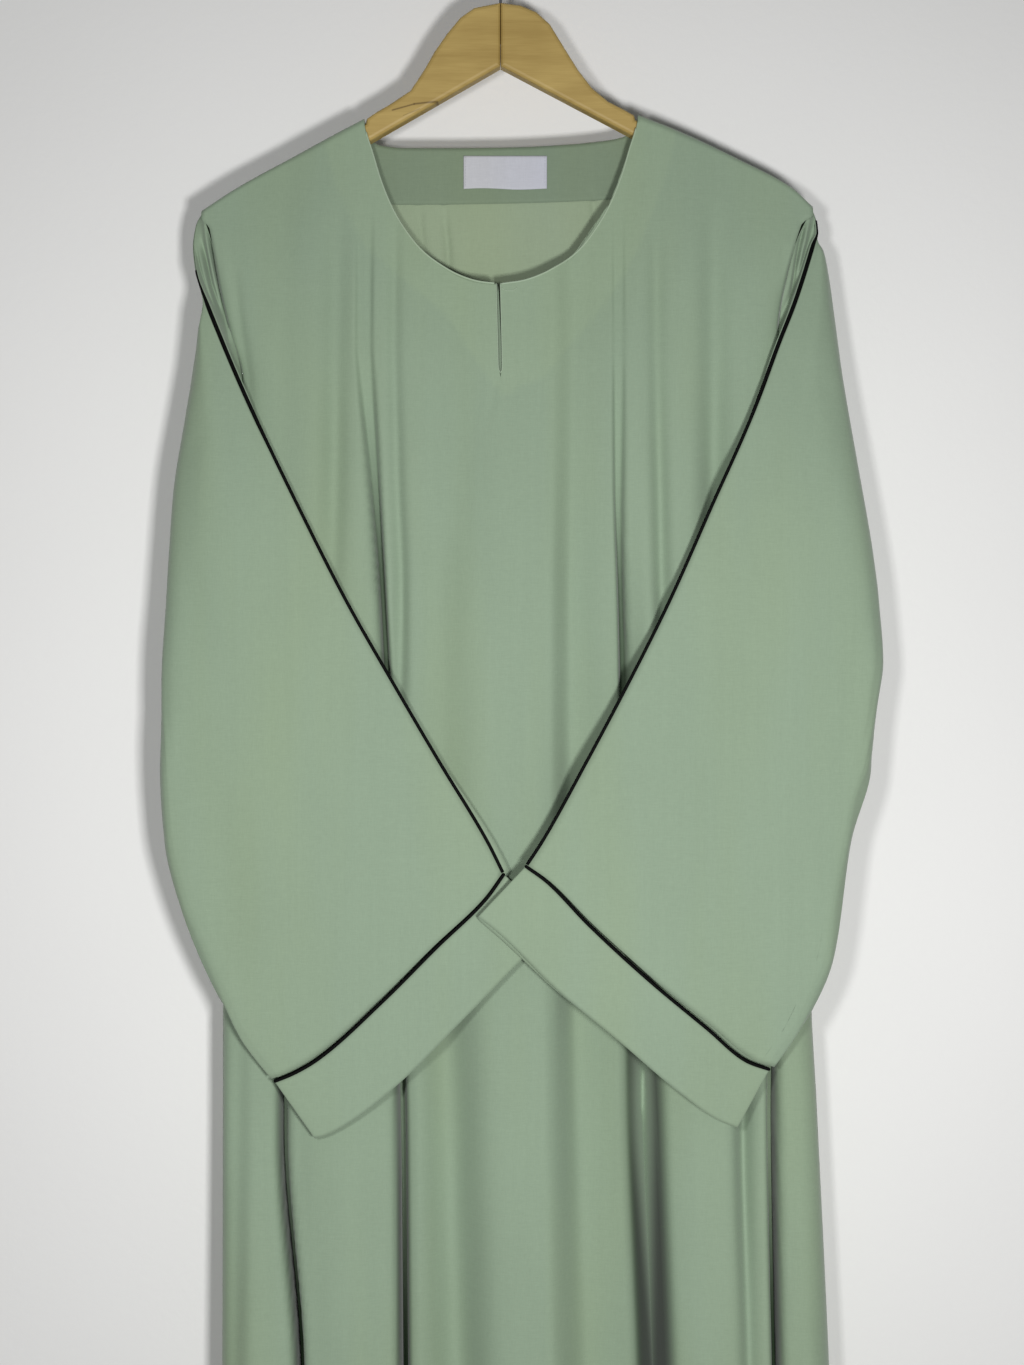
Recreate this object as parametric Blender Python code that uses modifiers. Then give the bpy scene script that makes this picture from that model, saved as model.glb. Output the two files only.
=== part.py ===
"""Abaya hanging on a wooden hanger, its sleeves folded over the front.

Lengths in the tables are millimetres. X runs to the right, Y away from the viewer, Z up.
The origin is the inside top of the hook, where a rail holds it.
"""
import math

import bpy
import bmesh
from mathutils import Vector

MM = 0.001

# Cloth thicknesses and the gap between pieces that touch
WALL = 1.2
FACING_WALL = 1.0
LABEL_WALL = 0.8
GAP = 0.3
FACING_GAP = 0.8

# Hanger
ARM_HALF = 7.0
ARM_ROUND = 3.0
JOINT_X = 1.5
HOOK_WIRE = 1.6
HOOK_RADIUS = 21.0
HOOK_TURN = 215.0
SHANK_END = -98.0
COVERED_STEPS = 10
SLOPE_LIFT = 1.18
BORE_CLEARANCE = 0.3

# Levels of the garment
HEM_Z = -1547.0
SLIT_END = -343.0
SLIT_HALF = 1.3
CREST_ROUND = 26.0

# Piping
PIPE_SLEEVE = 1.2
PIPE_CUFF = 1.4
CUFF_HALF = 4.0

# Columns and rows of the sheets
SHOULDER_COLUMNS = 7
NECK_COLUMNS = 13
FRONT_ROWS = 24
BACK_ROWS = 17
SLEEVE_COLUMNS = 12
SLEEVE_ROWS = 18
SLEEVE_START = 0.015
CUFF_COLUMNS = 36
CUFF_ROWS = 4
FACING_ROWS = 5

# Outline of the hanger arms: x, z along the bare top edge, then along the bottom edge.
# Under the cloth the top edge follows the shoulder seam.
ARM_TOP_LEFT = (
    (0, -68.2), (-18, -72), (-28, -79), (-38, -91), (-47, -104), (-55, -118), (-65, -133),
    (-80, -143), (-90, -148.8), (-97, -153.6),
)
ARM_BOTTOM_LEFT = ((-205, -229), (-190, -223), (-150, -202), (-94, -170), (0, -115))
ARM_TOP_RIGHT = (
    (3, -68.2), (16, -70), (28, -75), (38, -84), (49, -102), (59, -118), (69, -131),
    (81, -141), (92, -146.6), (100, -151.2),
)
ARM_BOTTOM_RIGHT = ((208, -217), (195, -213), (150, -193), (100, -167), (3, -115))

# Shoulder seams: x, z from the neck out
SHOULDER_LEFT = ((-99, -154.2), (-117, -163.6), (-146, -179.6), (-191, -204.6), (-218, -222.6))
SHOULDER_RIGHT = ((103, -151.2), (134, -163.6), (178, -184.6), (215, -204.6), (231, -219.6))

# Front neckline: distance either side of the centre, z at the centre's tilt
NECK_CENTRE = 2.0
NECK_TILT = 0.0157
NECK_FRONT = (
    (0, -278.5), (15, -276.5), (30, -271.5), (45, -263), (58, -252.5), (69.5, -238),
    (80, -220), (88.5, -199), (95, -177.5), (99, -165),
)
NECK_CORNER = 100.3
# Back neckline between its corners at the arms: x, z
NECK_BACK = (
    (-95, -166), (-88, -170), (-70, -172), (-30, -172), (10, -171.5), (50, -169.5),
    (80, -166.5), (92, -164), (98.5, -161),
)

# Side edges of the front, armhole then side seam: z, x
FRONT_LEFT = (
    (-222, -218), (-245, -206), (-289, -192), (-338, -186), (-384, -187), (-436, -197),
    (-480, -209), (-510, -216), (-600, -215), (-700, -212), (-790, -203.5), (-1068, -204),
    (-1547, -214),
)
FRONT_RIGHT = (
    (-219, 231), (-236, 219), (-270, 208), (-313, 204.5), (-362, 206), (-421, 214),
    (-480, 222), (-516, 228), (-600, 234), (-700, 235), (-796, 231), (-880, 235),
    (-1068, 244), (-1547, 262),
)
# Armhole edges of the back: z, x; below the underarm it shares the side seam
BACK_LEFT = (
    (-222, -218), (-245, -211), (-289, -204), (-338, -200), (-384, -200), (-436, -206),
    (-480, -213), (-510, -216), (-600, -215), (-700, -212), (-790, -203.5), (-1068, -204),
    (-1547, -214),
)
BACK_RIGHT = (
    (-219, 231), (-236, 224), (-270, 217), (-313, 214), (-362, 214), (-421, 219),
    (-480, 225), (-516, 228), (-600, 234), (-700, 235), (-796, 231), (-880, 235),
    (-1068, 244), (-1547, 262),
)
# How far each side's edge stands from the middle plane: z, y
FRONT_EDGE_DEPTH = (
    (-1547, -0.35), (-508, -0.35), (-490, -4), (-440, -12), (-300, -12), (-245, -10), (-219, -9.5),
)
BACK_EDGE_DEPTH = (
    (-1547, 0.35), (-508, 0.35), (-490, 3), (-440, 8), (-300, 10), (-245, 9.5), (-219, 9.2),
)
# How far the cloth hangs out from the arm's face: z, y
FRONT_HANG = (
    (-1547, 48), (-1068, 27), (-960, 20), (-880, 15.5), (-700, 15), (-470, 14), (-340, 12.5),
    (-280, 9.5),
    (-200, 1.5), (-165, 0),
)
BACK_HANG = (
    (-1547, 34), (-1068, 24), (-800, 17), (-500, 10), (-300, 5), (-220, 1), (-165, 0),
)
# Cloth over the facing lies higher: distance from the centre, lift of the wall's middle
LIFT = ((0, 3.0), (137, 3.0), (160, 1.2), (240, 1.2))

# Folds: name, half width, how far the lips close, then x and depth at each level
FOLD_LEVELS = (-300, -500, -700, -900, -1060, -1547)
FRONT_FOLDS = (
    ("left", 15, 0.3, (-122, -130, -146, -158, -144, -128), (1, 3, 4, 16, 24, 34)),
    ("left middle", 13, 0.35, (-99, -84, -77, -72, -68, -62), (2, 5, 6, 19, 27, 36)),
    ("left middle upper", 8, 0.0, (-76, -75, -76, -72, -68, -62), (1, 3, 1, 0, 0, 0)),
    ("centre left", 17, 0.0, (-46, -45, -36, -26, -17, -2), (0, 2, 4, 6, 8, 12)),
    ("centre right", 18, 0.0, (44, 45, 48, 54, 58, 64), (0, 1.5, 3, 5, 6, 10)),
    ("right middle", 14, 0.3, (87, 87, 94, 112, 119, 132), (2, 5, 8, 23, 30, 40)),
    ("right upper", 9, 0.0, (123, 123, 128, 140, 150, 160), (2, 3, 2, 0, 0, 0)),
    ("right outer", 13, 0.0, (158, 160, 168, 180, 187, 196), (2, 2, 1, 4, 6, 9)),
    ("right edge", 11, 0.3, (190, 196, 202, 201, 201, 209), (0, 0, 2, 14, 18, 24)),
)
BACK_FOLDS = (
    ("left", 18, 0.0, (-128, -132, -136, -138, -140, -144), (2, 3, 5, 8, 10, 15)),
    ("left middle", 15, 0.0, (-52, -48, -46, -44, -42, -38), (1, 3, 5, 7, 9, 14)),
    ("right middle", 17, 0.0, (34, 40, 44, 50, 54, 62), (1, 2, 4, 7, 9, 13)),
    ("right", 19, 0.0, (134, 138, 142, 146, 150, 160), (2, 3, 5, 9, 11, 16)),
)

# Front facing, outer edge from the left shoulder round to the right one: x, z
FACING_FRONT = (
    (-131, -171.5), (-121.7, -200), (-111.4, -226.5), (-98.9, -251.5), (-36.3, -305.2),
    (-13.5, -342), (3, -362), (35.7, -346.4), (80.6, -291.2), (95.3, -269), (105.6, -248),
    (116.6, -219.9), (125.5, -195), (133, -163.6),
)
# Back facing, lower edge: x, z
FACING_BACK = (
    (-131, -171.5), (-125, -190), (-105, -207), (-73, -214), (1, -213), (83, -210),
    (112, -202), (129, -184), (133, -163.6),
)
# Label corners: x of the left and right edges, z of the top and bottom
LABEL_X = (-26, 36)
LABEL_Z = (-178, -202.5)

# Overarm seams, shoulder tip to cuff: x, y, z
SEAM_LEFT = (
    (-220.5, -0.5, -223.5), (-224, -5, -245), (-222, -12, -266), (-216, -19, -284),
    (-202, -27, -318), (-175, -35, -379), (-147, -38, -437), (-111, -38, -510),
    (-79, -38, -568), (-46, -38, -626), (-10, -38, -684), (4, -38, -708),
)
SEAM_RIGHT = (
    (233.5, -0.5, -220.5), (232, -9, -246), (225, -15, -264), (220, -19, -279),
    (204, -28, -322), (182, -35, -380), (156, -38, -438), (124, -38, -510),
    (96, -38.5, -568), (66, -42, -626), (34, -48, -683), (20, -51, -701),
)
# Underarm seams, underarm to cuff: x, y, z
UNDER_LEFT = (
    (-219.5, -0.5, -514), (-234, -8, -548), (-243.5, -18, -590), (-245, -29, -626),
    (-241, -35, -685), (-230, -38, -729), (-204, -38, -792), (-161, -38, -857),
)
UNDER_RIGHT = (
    (231.5, -0.5, -519), (254, -8, -554), (272, -18, -596), (270, -30, -632),
    (255, -36, -684), (242, -39, -768), (225, -40, -808), (195, -40, -848),
)
# Outer outline of each sleeve above the underarm seam's line: z, x
OUTLINE_LEFT = (
    (-224, -219), (-240, -224.5), (-267, -222), (-277, -220), (-311, -221), (-344, -226),
    (-377, -231), (-436, -239), (-509, -243), (-568, -246), (-626, -245), (-685, -241),
    (-729, -230), (-757, -219), (-792, -204), (-825, -189), (-862, -161),
)
OUTLINE_RIGHT = (
    (-221, 232), (-245, 239), (-267, 242), (-289, 246), (-348, 254), (-407, 263),
    (-476, 274), (-512, 278), (-555, 281), (-585, 277), (-630, 270), (-656, 261),
    (-684, 255), (-729, 247), (-768, 242), (-797, 230), (-822, 218), (-855, 195),
)
# Cuff seams and cuff hems, inner corner to outer corner: x, z
CUFF_SEAM_LEFT = (
    (4, -708), (-9, -726), (-44, -760), (-83, -799), (-130, -841), (-147, -851), (-161, -857),
)
CUFF_HEM_LEFT = (
    (42, -744), (16, -770), (-27, -814), (-70, -857), (-108, -887), (-125, -896), (-132, -898),
)
CUFF_SEAM_RIGHT = (
    (20, -701), (35, -712), (65, -743), (107, -782), (150, -818), (179, -842), (195, -848),
)
CUFF_HEM_RIGHT = (
    (-14, -737), (1, -749), (44, -791), (86, -826), (129, -863), (158, -884), (172, -890),
)
# How far each sleeve stands off the armhole's edge, and its share of length at the cuff seam
SLEEVE_FIT_LEFT = (0.75, 0.9975)
SLEEVE_FIT_RIGHT = (1.15, 0.9956)
CUFF_DEPTH_LEFT = (-38, -38)
CUFF_DEPTH_RIGHT = (-51, -40)

# Colours: red, green, blue, roughness, metallic
CLOTH = (0.29, 0.38, 0.27, 0.85, 0.0)
CLOTH_SLEEVE = (0.28, 0.37, 0.265, 0.85, 0.0)
CLOTH_FACING = (0.2, 0.25, 0.18, 0.88, 0.0)
PIPING = (0.012, 0.013, 0.013, 0.6, 0.0)
LABEL_CLOTH = (0.6, 0.6, 0.57, 0.7, 0.0)
WOOD = (0.36, 0.27, 0.1, 0.45, 0.0)
STEEL = (0.55, 0.55, 0.56, 0.3, 1.0)


def lerp(a, b, t):
    return a + (b - a) * t


def smooth(t):
    t = min(1.0, max(0.0, t))
    return t * t * (3.0 - 2.0 * t)


def profile(rows):
    """A smooth value along rows of (position, value), with no overshoot, held past the ends."""
    rows = sorted(rows)
    at = [row[0] for row in rows]
    value = [row[1] for row in rows]
    secant = [(value[i + 1] - value[i]) / (at[i + 1] - at[i]) for i in range(len(at) - 1)]
    slope = [secant[0]]
    for before, after in zip(secant, secant[1:]):
        both = before * after
        slope.append(2.0 * both / (before + after) if both > 0 else 0.0)
    slope.append(secant[-1])

    def at_position(q):
        if q <= at[0]:
            return value[0]
        if q >= at[-1]:
            return value[-1]
        i = 0
        while at[i + 1] < q:
            i += 1
        width = at[i + 1] - at[i]
        t = (q - at[i]) / width
        start = (1 + 2 * t) * (1 - t) ** 2 * value[i] + t * (1 - t) ** 2 * width * slope[i]
        end = t * t * (3 - 2 * t) * value[i + 1] - t * t * (1 - t) * width * slope[i + 1]
        return start + end

    return at_position


def path(points):
    """A smooth line through points, by its share of the length."""
    along = [0.0]
    for a, b in zip(points, points[1:]):
        along.append(along[-1] + math.dist(a, b))
    axes = [
        profile([(s / along[-1], point[k]) for s, point in zip(along, points)])
        for k in range(len(points[0]))
    ]
    return lambda t: tuple(axis(t) for axis in axes)


def through(knots, t):
    """A point on the Catmull-Rom line through knots, t from 0 to 1."""
    last = len(knots) - 1
    s = min(max(t, 0.0), 1.0) * last
    i = min(int(s), last - 1)
    f = s - i
    p1, p2 = knots[i], knots[i + 1]
    p0 = knots[i - 1] if i else tuple(2 * a - b for a, b in zip(p1, p2))
    p3 = knots[i + 2] if i + 2 <= last else tuple(2 * b - a for a, b in zip(p1, p2))
    return tuple(
        0.5 * (2 * b + (c - a) * f + (2 * a - 5 * b + 4 * c - d) * f * f
               + (3 * b - a - 3 * c + d) * f ** 3)
        for a, b, c, d in zip(p0, p1, p2, p3)
    )


lift_at = profile(LIFT)
left_seam = profile(SHOULDER_LEFT)
right_seam = profile(SHOULDER_RIGHT)


def seam_line(x):
    """Height of the shoulder seams, carried straight across the neck."""
    start, end = SHOULDER_LEFT[0][0], SHOULDER_RIGHT[0][0]
    if start < x < end:
        return lerp(left_seam(start), right_seam(end), (x - start) / (end - start))
    return left_seam(x) if x <= start else right_seam(x)


def turn_length(lift):
    return (ARM_ROUND + lift) * math.pi / 2


def wrap(a, lift):
    """Forward and down travel of cloth laid over the arm, a along it from the seam."""
    flat = ARM_HALF - ARM_ROUND
    radius = ARM_ROUND + lift
    if a < flat:
        return a, 0.0
    if a < flat + turn_length(lift):
        angle = (a - flat) / radius
        return flat + radius * math.sin(angle), radius * (1 - math.cos(angle))
    return flat + radius, radius + a - flat - turn_length(lift)


def along_from_drop(drop, lift):
    """Length along the cloth from the seam to a point this far below it."""
    flat = ARM_HALF - ARM_ROUND
    radius = ARM_ROUND + lift
    if drop >= radius:
        return flat + turn_length(lift) + drop - radius
    return flat + radius * math.acos(1 - max(drop, 0.0) / radius)


class Panel:
    """A body panel: toward is -1 for the front and 1 for the back."""

    def __init__(self, toward, left, right, edge, hang, folds):
        self.toward = toward
        self.left = profile(left)
        self.right = profile(right)
        self.edge = profile(edge)
        self.hang = profile(hang)
        self.folds = [
            (half, close, profile(list(zip(FOLD_LEVELS, xs))), profile(list(zip(FOLD_LEVELS, deep))))
            for name, half, close, xs, deep in folds
        ]

    def fold(self, x, z):
        """Sideways and inward travel of the cloth in its folds."""
        across = inward = 0.0
        for half, close, centre, depth in self.folds:
            t = (x - centre(z)) / half
            deep = depth(z)
            if abs(t) > 6 or deep <= 0:
                continue
            inward += deep * (math.exp(-t ** 4) + 0.22 * math.exp(-(t / 3) ** 2))
            share = smooth(deep / 24.0) * close
            across -= share * half * t ** 3 * math.exp(1.5 * (1 - t * t))
        return across, inward

    def at(self, x, a):
        """The point of the panel at x, a below the shoulder seam along the cloth."""
        lift = lift_at(abs(x - NECK_CENTRE))
        forward, down = wrap(a, lift)
        z = seam_line(x) - down
        out = forward + self.hang(z)
        near = min(x - self.left(z), self.right(z) - x)
        round_off = 1 - math.sqrt(max(0.0, 1 - (1 - min(1.0, max(0.0, near / CREST_ROUND))) ** 2))
        ease = smooth((-240.0 - z) / 50.0) * round_off
        across, inward = self.fold(x, z)
        held = smooth((-200.0 - z) / 90.0) * min(1.0, max(0.0, near / CREST_ROUND)) ** 0.5
        out -= inward * held
        y = lerp(self.toward * out, self.edge(z), ease)
        return Vector((x + across * held, y, z))

    def normal(self, x, a):
        """Unit direction out of the panel, away from the hanger."""
        step = 0.5
        across = self.at(x + step, a) - self.at(x - step, a)
        down = self.at(x, a + step) - self.at(x, max(a - step, 0.0))
        n = across.cross(down).normalized()
        return n if n.y * self.toward + n.z > 0 else -n


FRONT = Panel(-1, FRONT_LEFT, FRONT_RIGHT, FRONT_EDGE_DEPTH, FRONT_HANG, FRONT_FOLDS)
BACK = Panel(1, BACK_LEFT, BACK_RIGHT, BACK_EDGE_DEPTH, BACK_HANG, BACK_FOLDS)


WRAP_ROWS = (0.5 * GAP, 4.0, 7.2, 10.3, 13.5)


def neck_corner(side):
    """Where the neckline meets the front or back face of an arm."""
    x = NECK_CENTRE + side * NECK_CORNER
    return x, seam_line(x) - wrap(WRAP_ROWS[-1], lift_at(NECK_CORNER))[1]


def neck_side(side):
    """One side of the front neckline, from the centre to the corner at the arm."""
    points = []
    for across, z in NECK_FRONT:
        points.append((NECK_CENTRE + side * across, z + side * across * NECK_TILT))
    return path(points + [neck_corner(side)])


neck_sides = {-1: neck_side(-1), 1: neck_side(1)}
back_neck_line = path([neck_corner(-1)] + list(NECK_BACK) + [neck_corner(1)])


def front_neck(t):
    """The front neckline at t from -1 at the left arm to 1 at the right arm."""
    return neck_sides[-1 if t < 0 else 1](abs(t))


def back_neck(t):
    return back_neck_line((t + 1) / 2)


def row_length(v):
    """Length along the cloth at v of the way down the part that turns over the arm."""
    return profile(list(zip([i / 4 for i in range(5)], WRAP_ROWS)))(v)


def shoulder_x(side, u, v):
    """x on the part over an arm: u from the shoulder tip to the neck, v down from the seam."""
    table = SHOULDER_LEFT if side < 0 else SHOULDER_RIGHT
    inner = lerp(table[0][0], neck_corner(side)[0], v)
    return lerp(table[-1][0], inner, u)


def top_point(u, neck):
    """Top edge of a panel below the arms, u from 0 at the left side to 1 at the right side."""
    share = SHOULDER_COLUMNS / (2 * (SHOULDER_COLUMNS + NECK_COLUMNS))
    if share <= u <= 1 - share:
        return neck(lerp(-1, 1, (u - share) / (1 - 2 * share)))
    side = -1 if u < share else 1
    x = shoulder_x(side, min(u, 1 - u) / share, 1.0)
    return x, seam_line(x) - wrap(WRAP_ROWS[-1], lift_at(abs(x - NECK_CENTRE)))[1]


def panel_point(panel, neck, u, v):
    """The point of a body panel below the arms, as x and length along the cloth."""
    x_top, z_top = top_point(u, neck)
    z = lerp(z_top, HEM_Z, v ** 1.3)
    even = lerp(u, smooth(u), 0.12) + 0.012 * math.sin(4 * math.pi * u)
    left_top, right_top = SHOULDER_LEFT[-1][0], SHOULDER_RIGHT[-1][0]
    from_top = (x_top - left_top) / (right_top - left_top)
    x = lerp(panel.left(z), panel.right(z), lerp(from_top, even, smooth(v * 2.4)))
    x = lerp(x_top, x, smooth(v * 60))
    return x, along_from_drop(seam_line(x) - z, lift_at(abs(x - NECK_CENTRE)))


def shoulder_grids(panel, columns):
    """The parts of a panel that turn over the arms, as grids for sheet()."""
    def grid(side):
        def place(u, v):
            across = u if side < 0 else 1 - u
            return panel.at(shoulder_x(side, across, v), row_length(v))
        return columns, len(WRAP_ROWS) - 1, place
    return [grid(-1), grid(1)]


def slit_half(z):
    """Half the width of the open slit at a height."""
    return SLIT_HALF * math.sqrt(min(1.0, max(0.0, (z - SLIT_END) / 40.0)))


def cloth_material(name, values):
    material = bpy.data.materials.new(name)
    material.use_nodes = True
    shader = material.node_tree.nodes["Principled BSDF"]
    shader.inputs["Base Color"].default_value = (*values[:3], 1.0)
    shader.inputs["Roughness"].default_value = values[3]
    shader.inputs["Metallic"].default_value = values[4]
    material.diffuse_color = (*values[:3], 1.0)
    return material


def add_object(name, mesh, collection, values):
    item = bpy.data.objects.new(name, mesh)
    mesh.materials.append(cloth_material(name, values))
    for polygon in mesh.polygons:
        polygon.use_smooth = True
    collection.objects.link(item)
    return item


def sheet(name, grids, wall, collection, values):
    """Cloth from grids of (columns, rows, place), solid through its wall."""
    whole = bmesh.new()
    for columns, rows, place in grids:
        known = set(whole.verts)
        bmesh.ops.create_grid(whole, x_segments=columns, y_segments=rows, size=0.5)
        for vertex in whole.verts:
            if vertex not in known:
                u, v = vertex.co.x + 0.5, 0.5 - vertex.co.y
                vertex.co = Vector(place(u, v)) * MM
    bmesh.ops.remove_doubles(whole, verts=whole.verts, dist=0.02 * MM)
    bmesh.ops.recalc_face_normals(whole, faces=whole.faces)
    mesh = bpy.data.meshes.new(name)
    whole.to_mesh(mesh)
    whole.free()
    item = add_object(name, mesh, collection, values)
    solid = item.modifiers.new("wall", "SOLIDIFY")
    solid.thickness = wall * MM
    solid.offset = 0.0
    solid.use_even_offset = False
    return item


def tube(name, points, radius, closed, collection, values, resolution=1):
    """A round cord or wire through points."""
    curve = bpy.data.curves.new(name, "CURVE")
    curve.dimensions = "3D"
    curve.bevel_depth = radius * MM
    curve.bevel_resolution = resolution
    curve.use_fill_caps = not closed
    spline = curve.splines.new("POLY")
    spline.points.add(len(points) - 1)
    for slot, point in zip(spline.points, points):
        slot.co = (*(Vector(point) * MM), 1.0)
    spline.use_cyclic_u = closed
    return curve_mesh(name, curve, collection, values)


def curve_mesh(name, curve, collection, values):
    """The curve turned into a closed mesh object."""
    holder = bpy.data.objects.new(name, curve)
    collection.objects.link(holder)
    graph = bpy.context.evaluated_depsgraph_get()
    mesh = bpy.data.meshes.new_from_object(holder.evaluated_get(graph))
    mesh.name = name
    mesh.materials.clear()
    bpy.data.objects.remove(holder, do_unlink=True)
    clean = bmesh.new()
    clean.from_mesh(mesh)
    bmesh.ops.remove_doubles(clean, verts=clean.verts, dist=0.01 * MM)
    bmesh.ops.recalc_face_normals(clean, faces=clean.faces)
    clean.to_mesh(mesh)
    clean.free()
    return add_object(name, mesh, collection, values)


def build_panels(collection):
    """Front and back of the body."""
    columns = SHOULDER_COLUMNS + NECK_COLUMNS

    def front_side(side):
        def place(u, v):
            point = FRONT.at(*panel_point(FRONT, front_neck, u / 2 if side < 0 else 0.5 + u / 2, v))
            if (u if side < 0 else 1 - u) > 0.999:
                point.x += side * slit_half(point.z)
            return point
        return columns, FRONT_ROWS, place

    def back(u, v):
        return BACK.at(*panel_point(BACK, back_neck, u, v))

    sheet("body_front", shoulder_grids(FRONT, SHOULDER_COLUMNS) + [front_side(-1), front_side(1)],
          WALL, collection, CLOTH)
    sheet("body_back", shoulder_grids(BACK, SHOULDER_COLUMNS) + [(2 * columns, BACK_ROWS, back)],
          WALL, collection, CLOTH)


def facing_point(panel, x, a, depth):
    """A point of the panel moved toward the hanger."""
    return panel.at(x, a) - panel.normal(x, a) * depth


FACING_DEPTH = 0.5 * WALL + FACING_GAP + 0.5 * FACING_WALL


def band_point(neck, outer, t, v):
    """A point of a neck facing below the arms: t from -1 to 1 round the neck, v outward."""
    (x_in, z_in), (x_out, z_out) = neck(t), outer(t)
    x, z = lerp(x_in, x_out, v), lerp(z_in, z_out, v)
    if abs(t) > 0.999:
        return x, WRAP_ROWS[-1]
    return x, along_from_drop(seam_line(x) - z, lift_at(abs(x - NECK_CENTRE)))


def facing_line(points):
    """The outer edge of a facing, from where it leaves one arm to the other."""
    ends = []
    for side, x in ((-1, points[0][0]), (1, points[-1][0])):
        x -= side * 2.0
        ends.append((x, seam_line(x) - wrap(WRAP_ROWS[-1], lift_at(abs(x - NECK_CENTRE)))[1]))
    line = path([ends[0]] + list(points[1:-1]) + [ends[1]])
    return ends, lambda t: line((t + 1) / 2)


def facing_shoulders(panel, points, ends):
    """The parts of a facing that turn over the arms."""
    def grid(side):
        top, low = points[0 if side < 0 else -1][0], ends[0 if side < 0 else 1][0]
        neck = (SHOULDER_LEFT if side < 0 else SHOULDER_RIGHT)[0][0]

        def place(u, v):
            across = u if side < 0 else 1 - u
            outer, inner = lerp(top, low, v), lerp(neck, neck_corner(side)[0], v)
            return facing_point(panel, lerp(outer, inner, across), row_length(v), FACING_DEPTH)
        return FACING_ROWS, len(WRAP_ROWS) - 1, place
    return [grid(-1), grid(1)]


def build_facings(collection):
    front_ends, outer_front = facing_line(FACING_FRONT)
    back_ends, outer_back = facing_line(FACING_BACK)

    def front_side(side):
        def place(u, v):
            t = u - 1 if side < 0 else u
            t = t or side * 1e-9
            x, a = band_point(front_neck, outer_front, t, 1 - v)
            point = facing_point(FRONT, x, a, FACING_DEPTH)
            if abs(t) < 0.001:
                point.x += side * slit_half(point.z)
            return point
        return 14, FACING_ROWS, place

    sheet("neck_facing_front",
          facing_shoulders(FRONT, FACING_FRONT, front_ends) + [front_side(-1), front_side(1)],
          FACING_WALL, collection, CLOTH_FACING)

    def back(u, v):
        x, a = band_point(back_neck, outer_back, 2 * u - 1, 1 - v)
        return facing_point(BACK, x, a, FACING_DEPTH)

    sheet("neck_facing_back", facing_shoulders(BACK, FACING_BACK, back_ends) + [(26, FACING_ROWS, back)],
          FACING_WALL, collection, CLOTH_FACING)

    def label(u, v):
        x = lerp(LABEL_X[0], LABEL_X[1], u)
        z = lerp(LABEL_Z[0], LABEL_Z[1], v)
        a = along_from_drop(seam_line(x) - z, lift_at(abs(x - NECK_CENTRE)))
        depth = FACING_DEPTH + 0.5 * FACING_WALL + GAP + 0.5 * LABEL_WALL
        return facing_point(BACK, x, a, depth)

    sheet("label", [(6, 2, label)], LABEL_WALL, collection, LABEL_CLOTH)


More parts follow.
